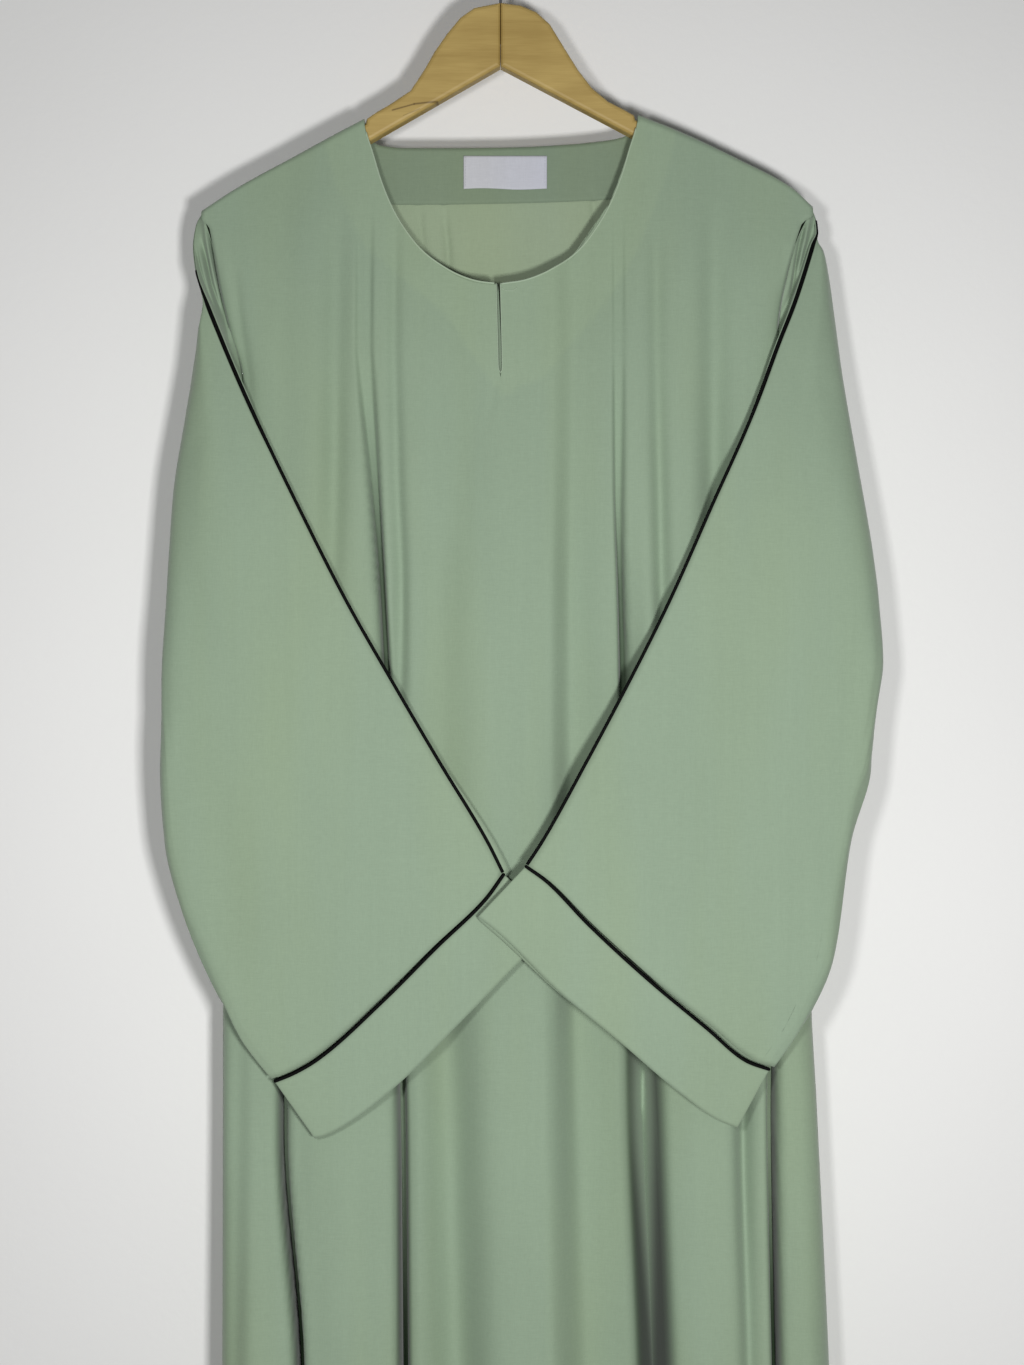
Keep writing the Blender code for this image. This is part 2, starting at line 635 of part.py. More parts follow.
class Sleeve:
    """A sleeve laid over the front: inward is 1 on the left and -1 on the right."""

    def __init__(self, inward, seam, under, outline, armhole_front, armhole_back, cuff, hem, depth,
                 ease, stop):
        self.inward = inward
        self.stop = stop
        self.seam = path(seam)
        self.outline = profile(outline)
        self.cuff = path(cuff)
        self.hem = path(hem)
        self.depth = depth
        top = seam[0][2] - 6.0
        levels = [lerp(top, under[0][2] + 12.0, i / 8) for i in range(9)]
        edges = ((armhole_front, FRONT_EDGE_DEPTH), (armhole_back, BACK_EDGE_DEPTH))
        self.starts = []
        for edge, stand in edges:
            x_at, y_at = profile(edge), profile(stand)
            upper = [(x_at(z) - inward * (WALL + ease), y_at(z), z) for z in levels]
            upper[0] = (seam[0][0], upper[0][1], upper[0][2])
            self.starts.append(path(upper + list(under)))

    def seam_normal(self, r):
        """Direction in the sleeve's plane from the overarm seam toward the underarm."""
        a, b = self.seam(max(r - 0.01, 0.0)), self.seam(min(r + 0.01, 1.0))
        tx, tz = b[0] - a[0], b[2] - a[2]
        size = math.hypot(tx, tz)
        return self.inward * tz / size, -self.inward * tx / size

    def fold_over(self, r):
        """0 where the front half faces the viewer, 1 where it lies under."""
        x_seam = self.seam(r)[0]
        x_start = self.starts[0](r)[0]
        return smooth(self.inward * (x_seam - x_start) / 40.0)

    def end_point(self, r, back_half):
        """Where a half stops beside the piping."""
        x, y, z = self.seam(r)
        nx, nz = self.seam_normal(r)
        g = self.fold_over(r)
        reach = PIPE_SLEEVE + GAP + 0.5 * WALL + 0.8
        beside = smooth(self.inward * (x - self.outline(z)) / 12.0)
        if back_half:
            angle = math.radians(lerp(60.0, -50.0 * g, beside))
        else:
            angle = math.radians(lerp(260.0, 180.0 - 130.0 * g, beside))
        along, away = reach * math.cos(angle), reach * math.sin(angle)
        return x + nx * along, y + away, z + nz * along

    def row(self, r, back_half):
        """Knots of one row from the armhole or underarm seam to the piping: x, y, z, share."""
        split = 0.2 + 0.5 * GAP
        sx, sy, sz = self.starts[1 if back_half else 0](r)
        room = smooth((sz + 560.0) / 60.0)
        behind = smooth((sy - max(self.seam(r)[1], self.depth[1])) / 8.0)
        sy += lerp(2.2, -split, max(room, behind)) if back_half else split
        end = self.end_point(r, back_half)
        g = self.fold_over(r)
        inward = self.inward
        seam_y = self.seam(r)[1]
        outer = max(seam_y, self.depth[1])
        fold = (0.0, 0.6, 0.9, 1.0, 1.0, 1.0, 1.0)
        wide = (0.0, 0.15, 0.45, 0.82, 1.0, 1.0, 1.0)
        if back_half:
            away = -lerp(1.5, CUFF_HALF, g)
            edge = self.outline(sz) + inward * 0.6
            width = inward * (end[0] - edge)
            laid = smooth(width / 20.0)
            reach = max(width, 1.0)
            rise = smooth((abs(outer + away - sy) - 6.0) / 20.0)
            xs = [sx, lerp(edge + inward * 1.5, lerp(edge, sx, 0.35), rise),
                  edge + inward * lerp(4.5, 1.0, rise),
                  edge + inward * min(lerp(9.0, 5.0, rise), 0.2 * reach),
                  edge + inward * min(24.0, 0.45 * reach), edge + inward * 0.72 * reach, end[0]]
        else:
            away = CUFF_HALF
            edge = sx
            laid = g
            sx += inward * 2.0 * (1.0 - room)
            sy = lerp(max(sy, outer + away), sy, room)
            reach = max(inward * (end[0] - sx), 1.0)
            first = lerp(5.0, -5.0, room)
            second = lerp(9.0, 1.0, room)
            xs = [sx, sx + inward * first, sx + inward * second,
                  sx + inward * lerp(14.0, 5.0, room),
                  sx + inward * 0.4 * reach, sx + inward * 0.72 * reach, end[0]]
        rise = smooth((abs(outer + away - sy) - 6.0) / 20.0)
        knots = []
        for i in range(7):
            share = min(1.0, max(0.0, inward * (xs[i] - edge) / reach)) if i < 6 else 1.0
            plane = lerp(outer, seam_y, share) + away
            y = lerp(sy, plane, lerp(fold[i], wide[i], rise)) if i < 6 else end[1]
            folded = (xs[i], y, lerp(sz, end[2], share), share)
            plain = (lerp(sx, end[0], i / 6), lerp(sy, end[1], i / 6), lerp(sz, end[2], i / 6), i / 6)
            knots.append(tuple(lerp(p, q, laid) for p, q in zip(plain, folded)))
        return knots

    def at(self, r, c, back_half):
        """A point of a half: r from shoulder to cuff, c across to the overarm seam."""
        x, y, z, share = through(self.row(r, back_half), c)
        bend = smooth((r - 0.7) / 0.3)
        first, last = self.cuff(0.0), self.cuff(1.0)
        line = self.cuff(1.0 - min(1.0, max(0.0, share)))
        x += bend * (line[0] - lerp(last[0], first[0], share))
        z += bend * (line[1] - lerp(last[1], first[1], share))
        return x, y, z

    def ring(self, w, c):
        """A point round the cuff: w from seam to hem, c once round the flat loop."""
        angle = 2 * math.pi * c
        share = 0.5 - 0.5 * math.copysign(abs(math.cos(angle)) ** 0.75, math.cos(angle))
        away = math.copysign(abs(math.sin(angle)) ** 0.45, math.sin(angle))
        p, q = self.cuff(share), self.hem(share)
        x, z = lerp(p[0], q[0], w), lerp(p[1], q[1], w)
        y = lerp(self.depth[0], self.depth[1], share) - CUFF_HALF * away
        return x, y, z


LEFT = Sleeve(1, SEAM_LEFT, UNDER_LEFT, OUTLINE_LEFT, FRONT_LEFT, BACK_LEFT,
              CUFF_SEAM_LEFT, CUFF_HEM_LEFT, CUFF_DEPTH_LEFT, *SLEEVE_FIT_LEFT)
RIGHT = Sleeve(-1, SEAM_RIGHT, UNDER_RIGHT, OUTLINE_RIGHT, FRONT_RIGHT, BACK_RIGHT,
               CUFF_SEAM_RIGHT, CUFF_HEM_RIGHT, CUFF_DEPTH_RIGHT, *SLEEVE_FIT_RIGHT)


def build_sleeve(side, sleeve, collection):
    for part, back_half in (("front", False), ("back", True)):
        def place(u, v):
            return sleeve.at(lerp(SLEEVE_START, sleeve.stop, v), u, back_half)
        sheet(f"sleeve_{side}_{part}", [(SLEEVE_COLUMNS, SLEEVE_ROWS, place)],
              WALL, collection, CLOTH_SLEEVE)
    start = (PIPE_CUFF + GAP + 0.2) / 50.0

    def cuff(u, v):
        return sleeve.ring(lerp(start, 1.0, v), u)

    sheet(f"cuff_{side}", [(CUFF_COLUMNS, CUFF_ROWS, cuff)], WALL, collection, CLOTH_SLEEVE)
    steps = 26
    seam = [sleeve.seam(lerp(0.03, 0.985, i / steps)) for i in range(steps + 1)]
    tube(f"piping_sleeve_{side}", seam, PIPE_SLEEVE, False, collection, PIPING)
    loop = [sleeve.ring(0.0, i / CUFF_COLUMNS) for i in range(CUFF_COLUMNS)]
    tube(f"piping_cuff_{side}", loop, PIPE_CUFF, True, collection, PIPING)


def build_arm(name, top, bottom, collection, cutter):
    """One arm of the hanger, half of the hook's bore cut in its joint face."""
    curve = bpy.data.curves.new(name, "CURVE")
    curve.dimensions = "2D"
    curve.fill_mode = "BOTH"
    curve.extrude = (ARM_HALF - ARM_ROUND) * MM
    curve.bevel_depth = ARM_ROUND * MM
    curve.bevel_resolution = 2
    curve.offset = -ARM_ROUND * MM
    side = -1 if top[0][0] < JOINT_X else 1
    joint = JOINT_X + side * 0.5 * GAP
    first, last = top[-1][0] + side * 1.0, bottom[0][0]
    covered = []
    for i in range(COVERED_STEPS + 1):
        x = lerp(first, last, i / COVERED_STEPS)
        covered.append((x, seam_line(x) - SLOPE_LIFT * lift_at(abs(x - NECK_CENTRE))))
    outline = [(joint, top[0][1])] + list(top[1:]) + covered
    outline += list(bottom[:-1]) + [(joint, bottom[-1][1])]
    spline = curve.splines.new("POLY")
    spline.points.add(len(outline) - 1)
    for slot, (x, z) in zip(spline.points, outline):
        slot.co = (x * MM, z * MM, 0.0, 1.0)
    spline.use_cyclic_u = True
    arm = curve_mesh(name, curve, collection, WOOD)
    for vertex in arm.data.vertices:
        x, z, y = vertex.co
        vertex.co = (x, -y, z)
    bore = arm.modifiers.new("bore", "BOOLEAN")
    bore.operation = "DIFFERENCE"
    bore.solver = "EXACT"
    bore.object = cutter
    return arm


def build_hanger(collection, cutters):
    shank_top = -HOOK_RADIUS + HOOK_WIRE
    depth = 34.0
    mesh = bpy.data.meshes.new("bore")
    hole = bmesh.new()
    bmesh.ops.create_cone(hole, cap_ends=True, segments=20, radius1=(HOOK_WIRE + BORE_CLEARANCE) * MM,
                          radius2=(HOOK_WIRE + BORE_CLEARANCE) * MM, depth=depth * MM)
    bottom = SHANK_END - 1.0
    for vertex in hole.verts:
        vertex.co += Vector((JOINT_X, 0.0, bottom + depth / 2)) * MM
    hole.to_mesh(mesh)
    hole.free()
    cutter = bpy.data.objects.new("bore", mesh)
    cutters.objects.link(cutter)
    cutter.hide_render = True
    cutter.display_type = "WIRE"
    build_arm("hanger_arm_left", ARM_TOP_LEFT, ARM_BOTTOM_LEFT, collection, cutter)
    build_arm("hanger_arm_right", ARM_TOP_RIGHT, ARM_BOTTOM_RIGHT, collection, cutter)
    points = []
    steps = 22
    for i in range(steps + 1):
        angle = math.radians(lerp(HOOK_TURN, -75.0, i / steps))
        points.append((HOOK_RADIUS * math.cos(angle), 0.0, shank_top + HOOK_RADIUS * math.sin(angle)))
    low = shank_top - HOOK_RADIUS
    points += [(2.2, 0.0, low - 2.5), (JOINT_X, 0.0, low - 8.0), (JOINT_X, 0.0, SHANK_END)]
    tube("hanger_hook", points, HOOK_WIRE, False, collection, STEEL, resolution=2)


def main():
    for item in list(bpy.data.objects):
        bpy.data.objects.remove(item, do_unlink=True)
    garment = bpy.data.collections.new("abaya")
    cutters = bpy.data.collections.new("cutters")
    bpy.context.scene.collection.children.link(garment)
    bpy.context.scene.collection.children.link(cutters)
    build_hanger(garment, cutters)
    build_panels(garment)
    build_facings(garment)
    build_sleeve("left", LEFT, garment)
    build_sleeve("right", RIGHT, garment)


main()
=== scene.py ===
"""Abaya on a wooden hanger: cloth, trims, materials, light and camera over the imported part.

Lengths in the tables are millimetres. X runs to the right, Y away from the viewer, Z up.
The origin is the inside top of the hook, where a rail holds it.
"""

import math

import bpy
import bmesh
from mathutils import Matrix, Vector, noise


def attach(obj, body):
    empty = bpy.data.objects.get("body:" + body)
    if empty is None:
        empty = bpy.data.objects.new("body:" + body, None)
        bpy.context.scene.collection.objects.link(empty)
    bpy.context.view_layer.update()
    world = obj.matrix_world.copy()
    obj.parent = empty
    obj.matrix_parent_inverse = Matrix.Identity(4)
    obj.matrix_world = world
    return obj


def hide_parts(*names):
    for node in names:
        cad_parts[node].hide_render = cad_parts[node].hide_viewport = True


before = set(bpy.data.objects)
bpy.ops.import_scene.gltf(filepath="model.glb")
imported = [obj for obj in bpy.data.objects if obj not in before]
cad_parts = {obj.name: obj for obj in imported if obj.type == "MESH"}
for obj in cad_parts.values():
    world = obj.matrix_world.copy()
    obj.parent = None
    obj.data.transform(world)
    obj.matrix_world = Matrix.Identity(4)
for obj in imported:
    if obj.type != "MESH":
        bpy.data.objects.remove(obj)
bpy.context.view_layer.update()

MM = 0.001

# Camera: place, focal length and the sensor's long side
CAMERA_PLACE = (10.0, -1480.0, -569.6)
FOCAL_LENGTH = 52.75
SENSOR = 36.0

# Cloth thicknesses and gaps
CREPE = 0.6
WALL = 1.2
FACING_WALL = 1.0
LABEL_WALL = 0.8
LABEL_SHEET = 0.4
GAP = 0.3
FACING_GAP = 0.8
ARM_HALF = 7.0
ARM_ROUND = 3.0

# Level of the hem, and the width over which a panel rounds toward its side edges
HEM_Z = -1547.0
CREST_ROUND = 26.0

# The slit: its foot's level, half its width, its middle's x at the top and at the foot, its top's
# level and the height over which its foot is rounded
SLIT_END = -343.0
SLIT_HALF = 1.25
SLIT_TOP_X = 0.0
SLIT_LOW_X = 1.6
SLIT_TOP = -278.0
SLIT_ROUND = 3.0
# Columns beside the slit come onto its line: within what share of the width, and back below z, run
SLIT_SHARE = 0.12
SLIT_FADE = (-430.0, 70.0)
# Cords of the edges: radii, and the thread loop's centre, half width, drop and height off the cloth
NECK_EDGE_RADIUS = 0.7
SLIT_EDGE_RADIUS = 0.38
LOOP_RADIUS = 0.3
LOOP_PLACE = (8.0, -281.0)
LOOP_SIZE = (5.5, 2.6, 0.55)

# Piping: radii and its gap to the cloth beside it
PIPE_SLEEVE = 1.3
PIPE_CUFF = 1.1
TRIM_GAP = 0.1
# A cuff: half its thickness laid flat, and its width from seam to hem
CUFF_HALF = 2.8
BAND_WIDTH = 50.0

# Columns and rows of the sheets
SHOULDER_COLUMNS = 40
NECK_COLUMNS = 90
FRONT_ROWS = 170
BACK_ROWS = 110
SLEEVE_COLUMNS = 72
SLEEVE_ROWS = 150
CUFF_COLUMNS = 216
CUFF_ROWS = 18
FACING_ROWS = 14
FACING_COLUMNS = 70
BACK_FACING_COLUMNS = 120
LABEL_COLUMNS = 48
LABEL_ROWS = 16
NECK_EDGE_STEPS = 200
SLIT_STEPS = 80
LOOP_STEPS = 16
PIPE_STEPS = 240
LABEL_STITCHES = 10
STITCH_RADIUS = 0.14
WRAP_STEPS = 12
# An edge turned more than this, in radians, is a sharp one
SHARP = 1.6

# Shoulder seams: x, z from the neck out
SHOULDER_LEFT = ((-99, -154.2), (-117, -163.6), (-146, -179.6), (-191, -204.6), (-218, -222.6))
SHOULDER_RIGHT = ((103, -151.2), (134, -163.6), (178, -184.6), (215, -204.6), (231, -219.6))

# Front neckline: distance either side of the centre, z at the centre's tilt
NECK_CENTRE = 2.0
NECK_TILT = 0.0157
NECK_FRONT = (
    (0, -278.5), (15, -276.5), (30, -271.5), (45, -263), (58, -252.5), (69.5, -238),
    (80, -220), (88.5, -199), (95, -177.5), (99, -165),
)
NECK_CORNER = 100.3
# Back neckline between its corners at the arms: x, z
NECK_BACK = (
    (-95, -166), (-88, -170), (-70, -172), (-30, -172), (10, -171.5), (50, -169.5),
    (80, -166.5), (92, -164), (98.5, -161),
)

# Side seams from the underarm down, shared by front and back: z, x
SIDE_LEFT = (
    (-510, -216), (-600, -215), (-700, -212), (-790, -203.5), (-1068, -204), (-1547, -214),
)
SIDE_RIGHT = (
    (-516, 228), (-600, 234), (-700, 235), (-796, 231), (-880, 235), (-1068, 244), (-1547, 262),
)
# Armhole edges of the front: z, x
FRONT_LEFT = (
    (-222, -218), (-234, -212.5), (-283, -204), (-312, -197), (-345, -188), (-384, -187), (-436, -197),
    (-480, -209),
) + SIDE_LEFT
FRONT_RIGHT = (
    (-219, 231), (-232, 223), (-270, 212), (-313, 205.5), (-362, 206), (-421, 214),
    (-480, 222),
) + SIDE_RIGHT
# Armhole edges of the back: z, x
BACK_LEFT = (
    (-222, -218), (-245, -211), (-289, -204), (-338, -200), (-384, -200), (-436, -206),
    (-480, -213),
) + SIDE_LEFT
BACK_RIGHT = (
    (-219, 231), (-236, 224), (-270, 217), (-313, 214), (-362, 214), (-421, 219),
    (-480, 225),
) + SIDE_RIGHT
# How far each side's edge stands from the middle plane: z, y
FRONT_EDGE_DEPTH = (
    (-1547, -0.35), (-508, -0.35), (-490, -4), (-440, -12), (-300, -12), (-245, -10), (-219, -9.5),
)
BACK_EDGE_DEPTH = (
    (-1547, 0.35), (-508, 0.35), (-490, 3), (-440, 8), (-300, 10), (-245, 9.5), (-219, 9.2),
)
# How far the cloth hangs out from the arm's face: z, y
FRONT_HANG = (
    (-1547, 48), (-1068, 27), (-960, 20), (-880, 15.5), (-700, 15), (-470, 14), (-340, 12.5),
    (-280, 9.5), (-200, 1.5), (-165, 0),
)
BACK_HANG = (
    (-1547, 34), (-1068, 24), (-800, 17), (-500, 10), (-300, 5), (-220, 1), (-165, 0),
)
# Cloth over the facing lies higher: distance from the centre, lift of the wall's middle
LIFT = ((0, 3.0), (137, 3.0), (160, 1.2), (240, 1.2))

# Folds: name, half width, kind, then x and depth at each level.  A trough is round, a slot has its
# lips close together, a cleft has a sharp foot, and a lap is steep on its left and gentle on its right.
FOLD_LEVELS = (-330, -420, -508, -700, -900, -1060, -1547)
FRONT_FOLDS = (
    ("left edge", 9, "trough", (-193, -193, -193, -190, -192, -193, -196), (0, 0, 0, 2, 7, 9, 10)),
    ("left", 8, "slot", (-150, -150, -150, -154, -158, -145, -128), (0, 0, 0, 4, 29, 33, 35)),
    ("left upper", 9, "trough", (-119, -120, -122, -130, -140, -150, -150), (5, 8, 4, 0, 0, 0, 0)),
    ("left middle upper", 6.5, "slot", (-98, -91, -85, -77, -71, -69, -62), (3, 13, 19, 15, 0, 0, 0)),
    ("left middle", 8, "slot", (-78, -78, -78, -75, -71, -69, -62), (0, 0, 0, 10, 30, 34, 36)),
    ("left bend", 5, "trough", (-76, -74, -71, -71, -72, -72, -72), (3, 5, 7, 0, 0, 0, 0)),
    ("centre left", 20, "trough", (-28, -33, -44, -42, -36, -31, -14), (2, 4, 7, 10, 22, 25, 28)),
    ("centre right upper", 16, "lap", (55, 54, 53, 54, 58, 60, 60), (5, 8, 11, 10, 4, 0, 0)),
    ("centre right", 30, "lap", (56, 56, 56, 58, 62, 66, 76), (0, 0, 0, 9, 21, 24, 26)),
    ("right middle upper", 4.5, "slot", (88, 88, 90, 96, 112, 112, 112), (2, 8, 14, 5, 0, 0, 0)),
    ("right middle", 13, "cleft", (96, 96, 96, 104, 109, 115, 130), (0, 0, 4, 21, 34, 36, 37)),
    ("right upper", 6, "trough", (116, 118, 120, 128, 140, 150, 160), (4, 7, 8, 0, 0, 0, 0)),
    ("right outer upper", 10, "trough", (158, 158, 156, 170, 180, 190, 196), (5, 9, 7, 0, 0, 0, 0)),
    ("right outer", 6, "trough", (170, 172, 175, 180, 180, 183, 187), (0, 0, 0, 4, 13, 9, 6)),
    ("right edge", 8, "slot", (199, 199, 199, 200, 201, 203, 209), (0, 0, 0, 4, 28, 31, 32)),
)
BACK_FOLDS = (
    ("left", 16, "trough", (-128, -130, -132, -136, -138, -140, -144), (2, 3, 4, 6, 10, 12, 17)),
    ("left middle", 15, "trough", (-52, -50, -48, -46, -44, -42, -38), (1, 2, 3, 5, 8, 9, 14)),
    ("right middle", 17, "trough", (34, 37, 40, 44, 50, 54, 62), (1, 2, 2, 4, 8, 9, 13)),
    ("right", 16, "trough", (134, 136, 138, 142, 146, 150, 160), (2, 3, 3, 6, 10, 12, 17)),
)
# A fold also lies in a broad bowl: its depth as a share of the fold's, its width in half widths,
# and how many half widths the fold reaches
BOWL_SHARE = 0.2
BOWL_WIDTH = 3.2
FOLD_REACH = 8
# The lips of a slot close by this share of its half width once it is this deep
SLOT_CLOSE = 0.6
SLOT_CLOSED_AT = 24.0
# Width of a lap's gentle side, in half widths
LAP_FALL = 1.6
# How softly the lips of a cleft turn over
LIP = 0.12
# Depth at which the cloth inside a slot or cleft begins to be painted in shade, and is fully painted so
SHADE_FROM = 7.0
SHADE_FULL = 31.0
# How many half widths the painted shade reaches, and how deep a fold has it in full
SHADE_REACH = 1.6
SHADE_LEAST_FOLD = 9.0
# Columns gather toward the folds: by what share, within how many half widths and how much more,
# for folds how deep, and how far from a panel's edge they do so fully
GATHER_SHARE = 0.6
GATHER_HALVES = 2.0
GATHER_MORE = 4.0
GATHER_DEPTH = 12.0
GATHER_EDGE = 25.0
# Where going down the edge's own depth, the folds and the unevenness set in: z, run
EDGE_SETS_IN = (-240.0, 50.0)
FOLDS_SET_IN = (-200.0, 90.0)
UNEVEN_SETS_IN = (-180.0, 60.0)
# Width beside a panel's edge over which the unevenness and the creases fade out
UNEVEN_FADE = 12.0
CREASE_FADE = 4.0
# Unevenness of the body, the sleeves' upper and under halves, and the cuffs
UNEVEN_BODY = 1.1
UNEVEN_OVER = 0.9
UNEVEN_UNDER = 0.4
UNEVEN_CUFF = 0.25

# Creases: half width, depth (a ridge where it is below 0), then x, z along it
FRONT_CREASES = (
    (4, -0.8, ((-206, -240), (-199, -270), (-193, -300))),
    (3.4, 2.6, ((-194, -268), (-190, -300), (-184, -340), (-180, -375))),
    (1.1, 1.6, ((213, -226), (210, -250), (206, -282), (204, -325))),
    (1.2, -0.5, ((216, -232), (212, -256), (209, -290))),
    (16, 1.6, ((164, -300), (160, -360), (158, -440))),
    (2.6, 0.8, ((-1, -347), (-4, -362), (-6, -376))),
    (2.6, 0.6, ((9, -345), (12, -366))),
    (2.4, 0.6, ((12, -286), (13, -312))),
    (3, 0.5, ((20, -284), (22, -306))),
)
BACK_CREASES = (
    (2.6, -2.0, ((-60, -216), (-57, -240), (-52, -262))),
    (3, -2.6, ((-41, -216), (-38, -245), (-36, -280))),
    (3, -2.0, ((70, -205), (72, -228))),
)
SLEEVE_CREASES = (
    (1.7, 6.0, ((-213, -232), (-210.5, -250), (-206.5, -270), (-202.5, -292), (-198, -320))),
    (2.2, 7.0, ((-218, -246), (-215, -258), (-211, -276), (-206, -292), (-201, -312))),
    (1.6, -2.2, ((-216.5, -232), (-213, -254), (-208.5, -280))),
    (1.3, 3.4, ((-222.5, -252), (-218.5, -268), (-213, -284), (-206, -302))),
    (1.7, 6.0, ((226, -227), (222, -246), (219, -262), (216, -284), (213, -304))),
    (3.0, 7.0, ((233, -232), (229, -246), (222.5, -266), (214, -288), (206, -308))),
    (1.6, -2.0, ((229, -228), (224.5, -246), (220, -266), (215.5, -286))),
    (15, 2.4, ((-206, -640), (-198, -693), (-191, -737), (-188, -780))),
    (13, 1.5, ((-226, -380), (-226, -470), (-212, -560))),
    (14, -1.2, ((-150, -520), (-130, -600), (-100, -690))),
    (14, 2.0, ((205, -430), (180, -500), (177, -590), (158, -655))),
    (13, 1.8, ((150, -524), (122, -590), (99, -650))),
    (16, -1.4, ((225, -470), (215, -560), (205, -640))),
    (10, 1.6, ((258, -540), (256, -600), (247, -640))),
    (5, 0.9, ((172, -846), (180, -838), (188, -832))),
)

# Front facing, outer edge from the left shoulder round to the right one: x, z
FACING_FRONT = (
    (-131, -171.5), (-121.7, -200), (-111.4, -226.5), (-98.9, -251.5), (-36.3, -305.2),
    (-13.5, -342), (3, -362), (35.7, -346.4), (80.6, -291.2), (95.3, -269), (105.6, -248),
    (116.6, -219.9), (125.5, -195), (133, -163.6),
)
# Back facing, lower edge: x, z
FACING_BACK = (
    (-131, -171.5), (-125, -190), (-105, -207), (-73, -214), (1, -213), (83, -210),
    (112, -202), (129, -184), (133, -163.6),
)
# Label: x of the left and right edges, z of the top and bottom
LABEL_X = (-26, 36)
LABEL_Z = (-178, -202.5)

# A row of a sleeve has seven knots from its armhole or underarm seam to the piping: the share of the
# way forward that each has gone, where the way is short and where it is long
FORWARD_SHORT = (0.0, 0.6, 0.9, 1.0, 1.0, 1.0, 1.0)
FORWARD_LONG = (0.0, 0.15, 0.45, 0.82, 1.0, 1.0, 1.0)
# The way counts as long from the first length on, fully so after the second more
LONG_WAY = (6.0, 20.0)
# Below this level there is no armhole, the change takes the second length
ARMHOLE_END = (-560.0, 60.0)
# The halves part by this much at their seam, and by more where they turn behind the arm's edge
SEAM_SPLIT = 0.2
BEHIND_SPLIT = 2.2
BEHIND_RUN = 8.0
# The over half lies this far forward of the seam's plane where nothing lies under it
OVER_HALF = 1.5
# It stands in from its outline by this much, and lies folded where it is wider than the second
OUTLINE_INSET = 0.6
LAID_WIDTH = 8.0
# Travel of the under half over which it turns to lie under
TURN_UNDER = 40.0

# Overarm seams, shoulder tip to cuff: x, y, z
SEAM_LEFT = (
    (-217.8, -0.5, -222), (-222.5, -2.5, -231), (-224.5, -5, -246), (-222, -12, -264), (-216.5, -19, -282),
    (-202, -27, -318), (-175, -35, -379), (-147, -38, -437), (-110, -38, -510),
    (-77, -38, -568), (-43, -38, -626), (-8, -38, -684), (4, -38, -708),
)
SEAM_RIGHT = (
    (230.8, -0.5, -219), (234, -3, -229), (234.5, -6, -238), (231.5, -10, -247), (224, -16, -270),
    (215.5, -22, -294),
    (204, -28, -322), (182, -35, -380), (156, -38, -438), (124, -38, -510),
    (95, -38.5, -568), (64, -42, -626), (32, -48, -683), (20, -51, -701),
)
# Underarm seams, underarm to cuff: x, y, z
UNDER_LEFT = (
    (-219.5, -0.5, -514), (-234, -8, -548), (-243.5, -18, -590), (-245, -29, -626),
    (-241, -35, -685), (-230, -38, -729), (-204, -38, -792), (-161, -38, -857),
)
UNDER_RIGHT = (
    (231.5, -0.5, -519), (254, -8, -554), (272, -18, -596), (270, -30, -632),
    (255, -36, -684), (242, -39, -768), (225, -40, -808), (195, -40, -848),
)
# Outer outline of each sleeve above the underarm seam's line: z, x
OUTLINE_LEFT = (
    (-224, -219), (-240, -224.5), (-267, -222), (-277, -220), (-311, -221), (-344, -226),
    (-377, -231), (-436, -239), (-509, -243), (-568, -246), (-626, -245), (-685, -241),
    (-729, -230), (-757, -219), (-792, -204), (-825, -189), (-862, -161),
)
OUTLINE_RIGHT = (
    (-221, 232), (-240, 237), (-262, 243.5), (-289, 247.5), (-348, 254), (-407, 263),
    (-476, 274), (-512, 278), (-555, 281), (-585, 277), (-630, 270), (-656, 261),
    (-684, 255), (-729, 247), (-768, 242), (-797, 230), (-822, 218), (-855, 195),
)
# Cuff seams and cuff hems, inner corner to outer corner: x, z
CUFF_SEAM_LEFT = (
    (4, -708), (-9, -726), (-44, -760), (-83, -799), (-130, -841), (-147, -851), (-161, -857),
)
CUFF_HEM_LEFT = (
    (42, -744), (16, -770), (-27, -814), (-70, -857), (-108, -887), (-125, -896), (-132, -898),
)
CUFF_SEAM_RIGHT = (
    (20, -701), (35, -712), (65, -743), (107, -782), (150, -818), (179, -842), (195, -848),
)
CUFF_HEM_RIGHT = (
    (-14, -737), (1, -749), (44, -791), (86, -826), (129, -863), (158, -884), (172, -890),
)
# How far each sleeve stands off the armhole's edge, its share of length at the cuff seam, how far
# the under half shows past the overarm seam at the cuff, where the piping starts, and how far
# the cuff's under layer slips past the upper one
SLEEVE_FIT_LEFT = (-0.4, 0.9980, 6.0, 0.09, 0.0)
SLEEVE_FIT_RIGHT = (-0.4, 0.9975, 0.0, 0.02, 3.0)
CUFF_DEPTH_LEFT = (-38, -38)
CUFF_DEPTH_RIGHT = (-51, -40)

# Crepe's layers of noise: stretch along x, y, z, detail, weight; the first two are warp and weft
WEAVE = (
    ((1500, 1500, 190), 1.0, 0.10),
    ((190, 190, 1500), 1.0, 0.10),
    ((45, 45, 1100), 2.0, 0.05),
    ((260, 260, 9), 2.0, 0.05),
    ((9, 9, 6), 2.0, 0.10),
)

# Colours, linear
CLOTH = (0.262, 0.345, 0.246)
# Painted light: the front a little lighter where the facing lies behind it
CLOTH_DOUBLE_PAINTED_LIGHT = (0.275, 0.360, 0.250)
# Painted shade: the facings, of the same cloth, shown darker
CLOTH_FACING_PAINTED_SHADE = (0.205, 0.268, 0.190)
CLOTH_BACKLIT = (0.300, 0.375, 0.262)
# Painted highlight: a lighter copy of the cloth on the rolled neck edge, the slit's lips and its loop
CLOTH_EDGE_PAINTED_HIGHLIGHT = (0.36, 0.45, 0.33)
